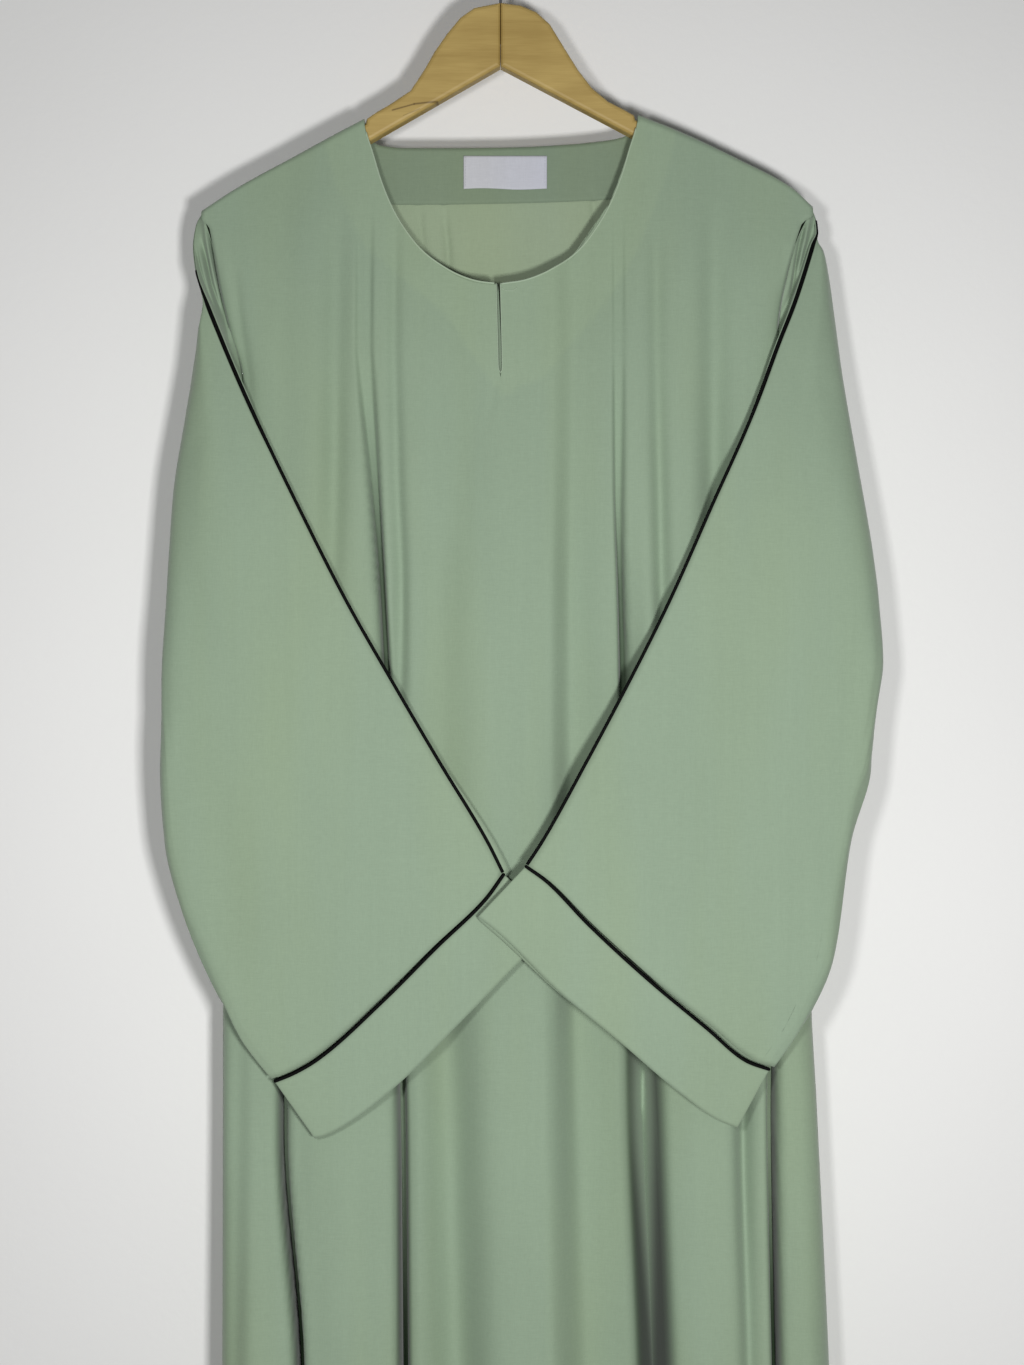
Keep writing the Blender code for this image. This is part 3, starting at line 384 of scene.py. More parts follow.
# Painted shade deep inside narrow folds, and the tint that the cloth drifts to in long soft patches
PAINTED_FOLD_SHADE = (0.020, 0.040, 0.017)
WARM = (1.01, 1.0, 0.93)
PIPING = (0.0012, 0.0013, 0.0013)
LABEL_CLOTH = (0.54, 0.55, 0.62)
WOOD_LIGHT = (0.50, 0.36, 0.12)
WOOD_DARK = (0.38, 0.26, 0.078)
WOOD_CRACK = (0.08, 0.045, 0.015)
STEEL = (0.55, 0.55, 0.56)
STEEL_DULL = (0.42, 0.42, 0.42)
WALL_PAINT = (0.86, 0.855, 0.84)
# Fine cracks in the wood: x, z of the start and the end, width, darkness
CRACKS = (
    ((-78, -148), (-62, -143.5), 0.9, 0.8),
    ((-62, -143.5), (-45, -141.5), 1.1, 0.8),
    ((-70, -152), (-58, -147), 0.6, 0.4),
    ((124, -160), (112, -152), 0.6, 0.35),
)


def lerp(a, b, t):
    return a + (b - a) * t


def smooth(t):
    t = min(1.0, max(0.0, t))
    return t * t * (3.0 - 2.0 * t)


def set_in(z, start_run):
    """0 above a level and 1 a run below it."""
    return smooth((start_run[0] - z) / start_run[1])


def profile(rows):
    """A smooth value along rows of (position, value), with no overshoot, held past the ends."""
    rows = sorted(rows)
    at = [row[0] for row in rows]
    value = [row[1] for row in rows]
    secant = [(value[i + 1] - value[i]) / (at[i + 1] - at[i]) for i in range(len(at) - 1)]
    slope = [secant[0]]
    for before, after in zip(secant, secant[1:]):
        both = before * after
        slope.append(2.0 * both / (before + after) if both > 0 else 0.0)
    slope.append(secant[-1])

    def at_position(q):
        if q <= at[0]:
            return value[0]
        if q >= at[-1]:
            return value[-1]
        i = 0
        while at[i + 1] < q:
            i += 1
        width = at[i + 1] - at[i]
        t = (q - at[i]) / width
        start = (1 + 2 * t) * (1 - t) ** 2 * value[i] + t * (1 - t) ** 2 * width * slope[i]
        end = t * t * (3 - 2 * t) * value[i + 1] - t * t * (1 - t) * width * slope[i + 1]
        return start + end

    return at_position


def path(points):
    """A smooth line through points, by its share of the length."""
    along = [0.0]
    for a, b in zip(points, points[1:]):
        along.append(along[-1] + math.dist(a, b))
    axes = [
        profile([(s / along[-1], point[k]) for s, point in zip(along, points)])
        for k in range(len(points[0]))
    ]
    return lambda t: tuple(axis(t) for axis in axes)


def through(knots, t):
    """A point on the Catmull-Rom line through knots, t from 0 to 1."""
    last = len(knots) - 1
    s = min(max(t, 0.0), 1.0) * last
    i = min(int(s), last - 1)
    f = s - i
    p1, p2 = knots[i], knots[i + 1]
    p0 = knots[i - 1] if i else tuple(2 * a - b for a, b in zip(p1, p2))
    p3 = knots[i + 2] if i + 2 <= last else tuple(2 * b - a for a, b in zip(p1, p2))
    return tuple(
        0.5 * (2 * b + (c - a) * f + (2 * a - 5 * b + 4 * c - d) * f * f
               + (3 * b - a - 3 * c + d) * f ** 3)
        for a, b, c, d in zip(p0, p1, p2, p3)
    )


def crease_at(creases, x, z):
    """Depth of the listed creases at x, z; each fades out at both of its ends."""
    depth = 0.0
    for half, deep, points in creases:
        reach = 2.6 * half
        if not points[-1][1] - reach < z < points[0][1] + reach:
            continue
        best = None
        for i, ((ax, az), (bx, bz)) in enumerate(zip(points, points[1:])):
            dx, dz = bx - ax, bz - az
            t = min(1.0, max(0.0, ((x - ax) * dx + (z - az) * dz) / (dx * dx + dz * dz)))
            gap = math.hypot(x - ax - t * dx, z - az - t * dz)
            if best is None or gap < best[0]:
                best = (gap, (i + t) / (len(points) - 1))
        gap, along = best
        if gap < reach:
            depth += deep * math.exp(-(gap / half) ** 2) * math.sin(math.pi * lerp(0.06, 0.94, along)) ** 0.7
    return depth


def uneven(x, z, size):
    """Soft unevenness of hanging cloth, about this many millimetres."""
    broad = noise.noise(Vector((x / 70.0, z / 150.0, 3.7)))
    small = noise.noise(Vector((x / 17.0, z / 60.0, 9.1)))
    return size * (broad + 0.22 * small)


lift_at = profile(LIFT)
left_seam = profile(SHOULDER_LEFT)
right_seam = profile(SHOULDER_RIGHT)


def seam_line(x):
    """Height of the shoulder seams, carried straight across the neck."""
    start, end = SHOULDER_LEFT[0][0], SHOULDER_RIGHT[0][0]
    if start < x < end:
        return lerp(left_seam(start), right_seam(end), (x - start) / (end - start))
    return left_seam(x) if x <= start else right_seam(x)


def turn_length(lift):
    return (ARM_ROUND + lift) * math.pi / 2


def wrap(a, lift):
    """Forward and down travel of cloth laid over the arm, a along it from the seam."""
    flat = ARM_HALF - ARM_ROUND
    radius = ARM_ROUND + lift
    if a < flat:
        return a, 0.0
    if a < flat + turn_length(lift):
        angle = (a - flat) / radius
        return flat + radius * math.sin(angle), radius * (1 - math.cos(angle))
    return flat + radius, radius + a - flat - turn_length(lift)


def along_from_drop(drop, lift):
    """Length along the cloth from the seam to a point this far below it."""
    flat = ARM_HALF - ARM_ROUND
    radius = ARM_ROUND + lift
    if drop >= radius:
        return flat + turn_length(lift) + drop - radius
    return flat + radius * math.acos(1 - max(drop, 0.0) / radius)


class Panel:
    """A body panel: toward is -1 for the front and 1 for the back."""

    def __init__(self, toward, left, right, edge, hang, folds, creases):
        self.toward = toward
        self.left = profile(left)
        self.right = profile(right)
        self.edge = profile(edge)
        self.hang = profile(hang)
        self.creases = creases
        self.folds = [
            (half, kind, profile(list(zip(FOLD_LEVELS, xs))), profile(list(zip(FOLD_LEVELS, deep))))
            for name, half, kind, xs, deep in folds
        ]

    def near_edge(self, x, z):
        """Distance from the nearer side edge."""
        return min(x - self.left(z), self.right(z) - x)

    def fold(self, x, z):
        """Sideways and inward travel of the cloth in its folds."""
        across = inward = 0.0
        for half, kind, centre, depth in self.folds:
            t = (x - centre(z)) / half
            deep = depth(z)
            if abs(t) > FOLD_REACH or deep <= 0:
                continue
            dip = math.exp(-t * t)
            if kind == "cleft":
                dip = LIP * math.log(1 + math.exp((1 - abs(t)) / LIP))
            elif kind == "lap":
                dip = smooth(1 + t) if t < 0 else math.exp(-(t / LAP_FALL) ** 2)
            elif kind == "slot":
                dip = math.exp(-t ** 6)
                close = SLOT_CLOSE * smooth(deep / SLOT_CLOSED_AT)
                across -= close * half * t ** 3 * math.exp(1.5 * (1 - t * t))
            inward += deep * (dip + BOWL_SHARE * math.exp(-(t / BOWL_WIDTH) ** 2))
        return across, inward

    def shade(self, x, y, z):
        """How deep a point lies inside a slot or cleft, from 0 to 1: how much painted shade it gets."""
        within = 0.0
        for half, kind, centre, depth in self.folds:
            if kind in ("slot", "cleft"):
                beside = smooth(SHADE_REACH - abs(x - centre(z)) / half)
                within = max(within, beside * smooth(depth(z) / SHADE_LEAST_FOLD))
        sunk = ARM_HALF + lift_at(abs(x - NECK_CENTRE)) + self.hang(z) - abs(y)
        within *= smooth(self.near_edge(x, z) / UNEVEN_FADE)
        return within * smooth((sunk - SHADE_FROM) / (SHADE_FULL - SHADE_FROM))

    def gather(self, x, z):
        """x moved toward the folds, so that the mesh is finer there."""
        hold = smooth(self.near_edge(x, z) / GATHER_EDGE)
        moved = x
        for half, kind, centre, depth in self.folds:
            t = (x - centre(z)) / (GATHER_HALVES * half + GATHER_MORE)
            if abs(t) < 3:
                pull = GATHER_SHARE * min(1.0, depth(z) / GATHER_DEPTH) * hold
                moved -= pull * (x - centre(z)) * math.exp(-t * t)
        return moved

    def at(self, x, a):
        """The point of the panel at x, a below the shoulder seam along the cloth."""
        lift = lift_at(abs(x - NECK_CENTRE))
        forward, down = wrap(a, lift)
        z = seam_line(x) - down
        out = forward + self.hang(z)
        near = self.near_edge(x, z)
        crest = min(1.0, max(0.0, near / CREST_ROUND))
        ease = set_in(z, EDGE_SETS_IN) * (1 - math.sqrt(max(0.0, 1 - (1 - crest) ** 2)))
        across, inward = self.fold(x, z)
        held = set_in(z, FOLDS_SET_IN) * crest ** 0.5
        free = set_in(z, UNEVEN_SETS_IN) * smooth(near / UNEVEN_FADE)
        out -= inward * held + crease_at(self.creases, x, z) * smooth(near / CREASE_FADE)
        out -= uneven(x, z, UNEVEN_BODY) * free
        y = lerp(self.toward * out, self.edge(z), ease)
        return Vector((x + across * held, y, z))

    def normal(self, x, a):
        """Unit direction out of the panel, away from the hanger."""
        step = 0.5
        across = self.at(x + step, a) - self.at(x - step, a)
        down = self.at(x, a + step) - self.at(x, max(a - step, 0.0))
        n = across.cross(down).normalized()
        return n if n.y * self.toward + n.z > 0 else -n


FRONT = Panel(-1, FRONT_LEFT, FRONT_RIGHT, FRONT_EDGE_DEPTH, FRONT_HANG, FRONT_FOLDS, FRONT_CREASES)
BACK = Panel(1, BACK_LEFT, BACK_RIGHT, BACK_EDGE_DEPTH, BACK_HANG, BACK_FOLDS, BACK_CREASES)

WRAP_START = 0.5 * GAP
WRAP_END = 13.5


def neck_corner(side):
    """Where the neckline meets the front or back face of an arm."""
    x = NECK_CENTRE + side * NECK_CORNER
    return x, seam_line(x) - wrap(WRAP_END, lift_at(NECK_CORNER))[1]


def neck_side(side):
    """One side of the front neckline, from the centre to the corner at the arm."""
    points = []
    for across, z in NECK_FRONT:
        points.append((NECK_CENTRE + side * across, z + side * across * NECK_TILT))
    return path(points + [neck_corner(side)])


neck_sides = {-1: neck_side(-1), 1: neck_side(1)}
back_neck_line = path([neck_corner(-1)] + list(NECK_BACK) + [neck_corner(1)])


def front_neck(t):
    """The front neckline at t from -1 at the left arm to 1 at the right arm."""
    return neck_sides[-1 if t < 0 else 1](abs(t))


def back_neck(t):
    return back_neck_line((t + 1) / 2)


def shoulder_x(side, u, v):
    """x on the part over an arm: u from the shoulder tip to the neck, v down from the seam."""
    table = SHOULDER_LEFT if side < 0 else SHOULDER_RIGHT
    inner = lerp(table[0][0], neck_corner(side)[0], v)
    return lerp(table[-1][0], inner, u)


def top_point(u, neck):
    """Top edge of a panel below the arms, u from 0 at the left side to 1 at the right side."""
    share = SHOULDER_COLUMNS / (2 * (SHOULDER_COLUMNS + NECK_COLUMNS))
    if share <= u <= 1 - share:
        return neck(lerp(-1, 1, (u - share) / (1 - 2 * share)))
    side = -1 if u < share else 1
    x = shoulder_x(side, min(u, 1 - u) / share, 1.0)
    return x, seam_line(x) - wrap(WRAP_END, lift_at(abs(x - NECK_CENTRE)))[1]


def panel_point(panel, neck, u, v):
    """The point of a body panel below the arms, as x and length along the cloth."""
    x_top, z_top = top_point(u, neck)
    z = lerp(z_top, HEM_Z, v ** 1.3)
    even = lerp(u, smooth(u), 0.12) + 0.012 * math.sin(4 * math.pi * u)
    left_top, right_top = SHOULDER_LEFT[-1][0], SHOULDER_RIGHT[-1][0]
    from_top = (x_top - left_top) / (right_top - left_top)
    x = lerp(panel.left(z), panel.right(z), lerp(from_top, even, smooth(v * 2.4)))
    x = lerp(x_top, panel.gather(x, z), smooth(v * 60))
    return x, along_from_drop(seam_line(x) - z, lift_at(abs(x - NECK_CENTRE)))


def shoulder_grids(panel, columns):
    """The parts of a panel that turn over the arms, as grids for sheet()."""
    def grid(side):
        def place(u, v):
            across = u if side < 0 else 1 - u
            return panel.at(shoulder_x(side, across, v), lerp(WRAP_START, WRAP_END, v))
        return columns, WRAP_STEPS, place
    return [grid(-1), grid(1)]


def slit_half(z):
    """Half the width of the open slit at a height."""
    return SLIT_HALF * math.sqrt(min(1.0, max(0.0, (z - SLIT_END) / SLIT_ROUND)))


def slit_line(z):
    """x of the slit's middle at a height."""
    return lerp(SLIT_TOP_X, SLIT_LOW_X, (z - SLIT_TOP) / (SLIT_END - SLIT_TOP))


def slit_shift(x, z, across):
    """Sideways travel that brings the columns beside the slit onto its line."""
    fade = smooth((z - SLIT_FADE[0]) / SLIT_FADE[1])
    return (slit_line(z) - x) * smooth(1.0 - abs(across) / SLIT_SHARE) * fade


# Sheets, cords and threads

def sheet(name, grids, wall, tone=None):
    """Cloth from grids of (columns, rows, place), solid through its wall."""
    whole = bmesh.new()
    for columns, rows, place in grids:
        known = set(whole.verts)
        bmesh.ops.create_grid(whole, x_segments=columns, y_segments=rows, size=0.5)
        for vertex in whole.verts:
            if vertex not in known:
                u, v = vertex.co.x + 0.5, 0.5 - vertex.co.y
                vertex.co = Vector(place(u, v)) * MM
    bmesh.ops.remove_doubles(whole, verts=whole.verts, dist=0.02 * MM)
    bmesh.ops.recalc_face_normals(whole, faces=whole.faces)
    layer = whole.verts.layers.float.new("tone")
    for vertex in whole.verts:
        vertex[layer] = tone(*(vertex.co / MM)) if tone else 0.0
    for face in whole.faces:
        face.smooth = True
    for edge in whole.edges:
        if len(edge.link_faces) == 2 and edge.calc_face_angle() > SHARP:
            edge.smooth = False
    mesh = bpy.data.meshes.new(name)
    whole.to_mesh(mesh)
    whole.free()
    item = bpy.data.objects.new(name, mesh)
    bpy.context.scene.collection.objects.link(item)
    solid = item.modifiers.new("wall", "SOLIDIFY")
    solid.thickness = wall * MM
    solid.offset = 0.0
    solid.use_even_offset = False
    return item


def cord(name, lines, radius, closed=False, resolution=3):
    """Round cord or thread along each line of points, as one mesh."""
    curve = bpy.data.curves.new(name, "CURVE")
    curve.dimensions = "3D"
    curve.bevel_depth = radius * MM
    curve.bevel_resolution = resolution
    curve.use_fill_caps = not closed
    for points in lines:
        spline = curve.splines.new("POLY")
        spline.points.add(len(points) - 1)
        for slot, point in zip(spline.points, points):
            slot.co = (*(Vector(point) * MM), 1.0)
        spline.use_cyclic_u = closed
    holder = bpy.data.objects.new(name, curve)
    bpy.context.scene.collection.objects.link(holder)
    mesh = bpy.data.meshes.new_from_object(holder.evaluated_get(bpy.context.evaluated_depsgraph_get()))
    mesh.name = name
    bpy.data.objects.remove(holder, do_unlink=True)
    clean = bmesh.new()
    clean.from_mesh(mesh)
    bmesh.ops.remove_doubles(clean, verts=clean.verts, dist=0.001 * MM)
    bmesh.ops.recalc_face_normals(clean, faces=clean.faces)
    for face in clean.faces:
        face.smooth = True
    clean.to_mesh(mesh)
    clean.free()
    item = bpy.data.objects.new(name, mesh)
    bpy.context.scene.collection.objects.link(item)
    return item


def stitch_lines(line, count, share=0.6, rise=0.25):
    """Short arched threads along line(t), t from 0 to 1, as lists of points."""
    threads = []
    for i in range(count):
        start, end = i / count, (i + share) / count
        points = []
        for k in range(5):
            point = Vector(line(lerp(start, end, k / 4)))
            point.y -= rise * math.sin(math.pi * k / 4)
            points.append(point)
        threads.append(points)
    return threads


def inside(outline, x, z):
    """True where x, z lies inside the closed outline."""
    crossings = 0
    for (ax, az), (bx, bz) in zip(outline, outline[1:] + outline[:1]):
        if (az > z) != (bz > z) and x < ax + (z - az) / (bz - az) * (bx - ax):
            crossings += 1
    return crossings % 2 == 1


def edge_gap(outline, x, z):
    """Distance from x, z to an open line of points."""
    best = 1e9
    for (ax, az), (bx, bz) in zip(outline, outline[1:]):
        dx, dz = bx - ax, bz - az
        t = min(1.0, max(0.0, ((x - ax) * dx + (z - az) * dz) / (dx * dx + dz * dz)))
        best = min(best, math.hypot(x - ax - t * dx, z - az - t * dz))
    return best


def double_cloth_light_and_fold_shade(x, y, z):
    """1 where the facing lies behind the front, with a soft edge, for the painted light there; down to -1
    deep in a fold, for painted shade.
    """
    line = list(FACING_FRONT)
    if z < -375 or not inside(line + [(140, -100), (-140, -100)], x, z):
        return -FRONT.shade(x, y, z)
    return smooth(edge_gap(line, x, z) / 3.0)


def back_light(x, y, z):
    """1 on the back below its facing, where light comes through one layer."""
    line = list(FACING_BACK)
    return 0.0 if z > -205 and inside(line + [(140, -100), (-140, -100)], x, z) else 1.0


def build_panels():
    """Front and back of the body."""
    columns = SHOULDER_COLUMNS + NECK_COLUMNS

    def front_side(side):
        def place(u, v):
            across = u / 2 if side < 0 else 0.5 + u / 2
            x, a = panel_point(FRONT, front_neck, across, v)
            centre_x, centre_a = panel_point(FRONT, front_neck, 0.5, v)
            centre_z = seam_line(centre_x) - wrap(centre_a, lift_at(abs(centre_x - NECK_CENTRE)))[1]
            point = FRONT.at(x + slit_shift(centre_x, centre_z, across - 0.5), a)
            if (u if side < 0 else 1 - u) > 0.9999:
                point.x += side * slit_half(point.z)
            return point
        return columns, FRONT_ROWS, place

    def back(u, v):
        return BACK.at(*panel_point(BACK, back_neck, u, v))

    front = sheet("front_cloth", shoulder_grids(FRONT, SHOULDER_COLUMNS) + [front_side(-1), front_side(1)],
                  CREPE, double_cloth_light_and_fold_shade)
    behind = sheet("back_cloth", shoulder_grids(BACK, SHOULDER_COLUMNS) + [(2 * columns, BACK_ROWS, back)],
                   CREPE, back_light)
    return front, behind


def facing_point(panel, x, a, depth):
    """A point of the panel moved toward the hanger."""
    return panel.at(x, a) - panel.normal(x, a) * depth


FACING_DEPTH = 0.5 * WALL + FACING_GAP + 0.5 * FACING_WALL


def band_point(neck, outer, t, v):
    """A point of a neck facing below the arms: t from -1 to 1 round the neck, v outward."""
    (x_in, z_in), (x_out, z_out) = neck(t), outer(t)
    x, z = lerp(x_in, x_out, v), lerp(z_in, z_out, v)
    if abs(t) > 0.999:
        return x, WRAP_END
    return x, along_from_drop(seam_line(x) - z, lift_at(abs(x - NECK_CENTRE)))


def facing_line(points):
    """The outer edge of a facing, from where it leaves one arm to the other."""
    ends = []
    for side, x in ((-1, points[0][0]), (1, points[-1][0])):
        x -= side * 2.0
        ends.append((x, seam_line(x) - wrap(WRAP_END, lift_at(abs(x - NECK_CENTRE)))[1]))
    line = path([ends[0]] + list(points[1:-1]) + [ends[1]])
    return ends, lambda t: line((t + 1) / 2)


def facing_shoulders(panel, points, ends):
    """The parts of a facing that turn over the arms."""
    def grid(side):
        top, low = points[0 if side < 0 else -1][0], ends[0 if side < 0 else 1][0]
        neck = (SHOULDER_LEFT if side < 0 else SHOULDER_RIGHT)[0][0]

        def place(u, v):
            across = u if side < 0 else 1 - u
            outer, inner = lerp(top, low, v), lerp(neck, neck_corner(side)[0], v)
            a = lerp(WRAP_START, WRAP_END, v)
            return facing_point(panel, lerp(outer, inner, across), a, FACING_DEPTH)
        return FACING_ROWS, WRAP_STEPS, place
    return [grid(-1), grid(1)]


def label_point(u, v):
    """A point of the label on the back facing, its lower edge a little wavy."""
    x = lerp(LABEL_X[0], LABEL_X[1], u)
    z = lerp(LABEL_Z[0], LABEL_Z[1], v) + 0.5 * v * math.sin(7 * u)
    a = along_from_drop(seam_line(x) - z, lift_at(abs(x - NECK_CENTRE)))
    bow = 0.5 * math.sin(math.pi * u) * v
    return facing_point(BACK, x, a, FACING_DEPTH + 0.5 * FACING_WALL + GAP + 0.5 * LABEL_WALL + bow)


def front_line(x, z, out):
    """A point this far out from the front's middle surface."""
    a = along_from_drop(seam_line(x) - z, lift_at(abs(x - NECK_CENTRE)))
    return FRONT.at(x, a) + FRONT.normal(x, a) * out


def slit_edge(t):
    """The edge of the slit, down its left lip, round its foot and up its right lip, t from -1 to 1."""
    z = lerp(SLIT_END, SLIT_TOP, abs(t))
    x = slit_line(z) + math.copysign(slit_half(z) + 0.3, t)
    return front_line(x, z - 0.6 * (1 - abs(t)) ** 20, 0.25)


def build_edges():
    """The rolled neck edge, the lips of the slit and the thread loop at its top."""
    rim = []
    for i in range(NECK_EDGE_STEPS + 1):
        x, z = front_neck(lerp(-0.97, 0.97, i / NECK_EDGE_STEPS))
        if abs(x - SLIT_TOP_X) > SLIT_HALF + 0.45:
            rim.append(front_line(x, z, 0.1))
    left = [point for point in rim if point.x < SLIT_TOP_X]
    right = [point for point in rim if point.x > SLIT_TOP_X]
    lips = [slit_edge(lerp(-1, 1, i / SLIT_STEPS)) for i in range(SLIT_STEPS + 1)]
    loop = []
    for i in range(LOOP_STEPS + 1):
        angle = math.pi * i / LOOP_STEPS
        x = LOOP_PLACE[0] - LOOP_SIZE[0] * math.cos(angle)
        loop.append(front_line(x, LOOP_PLACE[1] - LOOP_SIZE[1] * math.sin(angle), LOOP_SIZE[2]))
    return (cord("neck_edge", [left, right], NECK_EDGE_RADIUS),
            cord("slit_edge", [lips], SLIT_EDGE_RADIUS, resolution=2),
            cord("slit_loop", [loop], LOOP_RADIUS, resolution=2))


def build_facings():
    front_ends, outer_front = facing_line(FACING_FRONT)
    back_ends, outer_back = facing_line(FACING_BACK)

    def front_side(side):
        def place(u, v):
            t = u - 1 if side < 0 else u
            t = t or side * 1e-9
            x, a = band_point(front_neck, outer_front, t, 1 - v)
            point = facing_point(FRONT, x, a, FACING_DEPTH)
            if abs(t) < 0.0001:
                point.x = slit_line(point.z) + side * (slit_half(point.z) + 0.05)
            return point
        return FACING_COLUMNS, FACING_ROWS, place

    front = sheet("front_facing",
                  facing_shoulders(FRONT, FACING_FRONT, front_ends) + [front_side(-1), front_side(1)],
                  CREPE)

    def back(u, v):
        x, a = band_point(back_neck, outer_back, 2 * u - 1, 1 - v)
        return facing_point(BACK, x, a, FACING_DEPTH)

    behind = sheet("back_facing",
                   facing_shoulders(BACK, FACING_BACK, back_ends)
                   + [(BACK_FACING_COLUMNS, FACING_ROWS, back)], CREPE)
    label = sheet("woven_label", [(LABEL_COLUMNS, LABEL_ROWS, label_point)], LABEL_SHEET)
    ends = []
    for u in (0.025, 0.975):
        def line(t, u=u):
            return label_point(u, lerp(0.04, 0.96, t)) - Vector((0, 0.25, 0))
        ends += stitch_lines(line, LABEL_STITCHES)
    threads = cord("label_stitches", ends, STITCH_RADIUS, resolution=1)
    return front, behind, label, threads


class Sleeve:
    """A sleeve laid over the front: inward is 1 on the left and -1 on the right."""

    def __init__(self, inward, seam, under, outline, armhole_front, armhole_back, cuff, hem, depth,
                 ease, stop, peek, piped, slip):
        self.inward = inward
        self.stop = stop
        self.peek = peek
        self.piped = piped
        self.slip = slip
        self.seam = path(seam)
        self.outline = profile(outline)
        self.cuff = path(cuff)
        self.hem = path(hem)
        self.depth = depth
        top = seam[0][2] - 2.0
        levels = [lerp(top, under[0][2] + 12.0, i / 8) for i in range(9)]
        edges = ((armhole_front, FRONT_EDGE_DEPTH), (armhole_back, BACK_EDGE_DEPTH))
        self.starts = []
        for edge, stand in edges:
            x_at, y_at = profile(edge), profile(stand)
            upper = [(x_at(z) - inward * ease, y_at(z), z) for z in levels]
            upper[0] = (seam[0][0], upper[0][1], upper[0][2])
            self.starts.append(path(upper + list(under)))

    def seam_normal(self, r):
        """Direction in the sleeve's plane from the overarm seam toward the underarm."""
        a, b = self.seam(max(r - 0.01, 0.0)), self.seam(min(r + 0.01, 1.0))
        tx, tz = b[0] - a[0], b[2] - a[2]
        size = math.hypot(tx, tz)
        return self.inward * tz / size, -self.inward * tx / size

    def fold_over(self, r):
        """0 where the front half faces the viewer, 1 where it lies under."""
        x_seam = self.seam(r)[0]
        x_start = self.starts[0](r)[0]
        return smooth(self.inward * (x_seam - x_start) / TURN_UNDER)

    def end_point(self, r, back_half):
        """Where a half stops beside the piping."""
        x, y, z = self.seam(r)
        nx, nz = self.seam_normal(r)
        g = self.fold_over(r)
        reach = PIPE_SLEEVE + TRIM_GAP + 0.5 * CREPE
        beside = smooth(self.inward * (x - self.outline(z)) / 12.0)
        if back_half:
            angle = math.radians(lerp(60.0, -50.0 * g, beside))
        else:
            angle = math.radians(lerp(260.0, 180.0 - 130.0 * g, beside))
        along, away = reach * math.cos(angle), reach * math.sin(angle)
        if not back_half:
            along -= self.peek * smooth((r - 0.72) / 0.28)
        return x + nx * along, y + away, z + nz * along

    def row(self, r, back_half):
        """Knots of one row from the armhole or underarm seam to the piping: x, y, z, share."""
        split = SEAM_SPLIT + 0.5 * GAP
        sx, sy, sz = self.starts[1 if back_half else 0](r)
        room = smooth((sz - ARMHOLE_END[0]) / ARMHOLE_END[1])
        behind = smooth((sy - max(self.seam(r)[1], self.depth[1])) / BEHIND_RUN)
        sy += lerp(BEHIND_SPLIT, -split, max(room, behind)) if back_half else split
        end = self.end_point(r, back_half)
        g = self.fold_over(r)
        inward = self.inward
        seam_y = self.seam(r)[1]
        outer = max(seam_y, self.depth[1])
        if back_half:
            away = -lerp(OVER_HALF, CUFF_HALF, g)
            edge = self.outline(sz) + inward * OUTLINE_INSET
            width = inward * (end[0] - edge)
            laid = smooth(width / LAID_WIDTH)
            reach = max(width, 1.0)
            rise = smooth((abs(outer + away - sy) - LONG_WAY[0]) / LONG_WAY[1])
            xs = [sx, lerp(edge + inward * 1.5, lerp(edge, sx, 0.35), rise),
                  edge + inward * lerp(4.5, 1.0, rise),
                  edge + inward * min(lerp(9.0, 5.0, rise), 0.2 * reach),
                  edge + inward * min(24.0, 0.45 * reach), edge + inward * 0.72 * reach, end[0]]
        else:
            away = CUFF_HALF
            edge = sx
            laid = g
            sx += inward * 2.0 * (1.0 - room)
            sy = lerp(max(sy, outer + away), sy, room)
            reach = max(inward * (end[0] - sx), 1.0)
            first = lerp(5.0, -5.0, room)
            second = lerp(9.0, 1.0, room)
            xs = [sx, sx + inward * first, sx + inward * second,
                  sx + inward * lerp(14.0, 5.0, room),
                  sx + inward * 0.4 * reach, sx + inward * 0.72 * reach, end[0]]
        rise = smooth((abs(outer + away - sy) - LONG_WAY[0]) / LONG_WAY[1])
        knots = []
        for i in range(7):
            share = min(1.0, max(0.0, inward * (xs[i] - edge) / reach)) if i < 6 else 1.0
            plane = lerp(outer, seam_y, share) + away
            y = lerp(sy, plane, lerp(FORWARD_SHORT[i], FORWARD_LONG[i], rise)) if i < 6 else end[1]
            folded = (xs[i], y, lerp(sz, end[2], share), share)
            plain = (lerp(sx, end[0], i / 6), lerp(sy, end[1], i / 6), lerp(sz, end[2], i / 6), i / 6)
            knots.append(tuple(lerp(p, q, laid) for p, q in zip(plain, folded)))
        return knots

    def at(self, knots, r, c):
        """A point of a row's knots: c across from the armhole or underarm to the overarm seam."""
        x, y, z, share = through(knots, c)
        bend = smooth((r - 0.7) / 0.3)
        first, last = self.cuff(0.0), self.cuff(1.0)
        line = self.cuff(1.0 - min(1.0, max(0.0, share)))
        x += bend * (line[0] - lerp(last[0], first[0], share))
        z += bend * (line[1] - lerp(last[1], first[1], share))
        return x, y, z

    def ring(self, w, c):
        """A point round the cuff: w from seam to hem, c once round the flat loop."""
        angle = 2 * math.pi * c
        share = 0.5 - 0.5 * math.copysign(abs(math.cos(angle)) ** 0.75, math.cos(angle))
        away = math.copysign(abs(math.sin(angle)) ** 0.45, math.sin(angle))
        p, q = self.cuff(share), self.hem(share)
        x, z = lerp(p[0], q[0], w), lerp(p[1], q[1], w)
        if away < 0:
            run = self.slip * w * smooth(-away) * smooth(1 - share / 0.6) / math.dist(p, q)
            x, z = x + run * (q[0] - p[0]), z + run * (q[1] - p[1])
        y = lerp(self.depth[0], self.depth[1], share) - CUFF_HALF * away
        return x, y, z


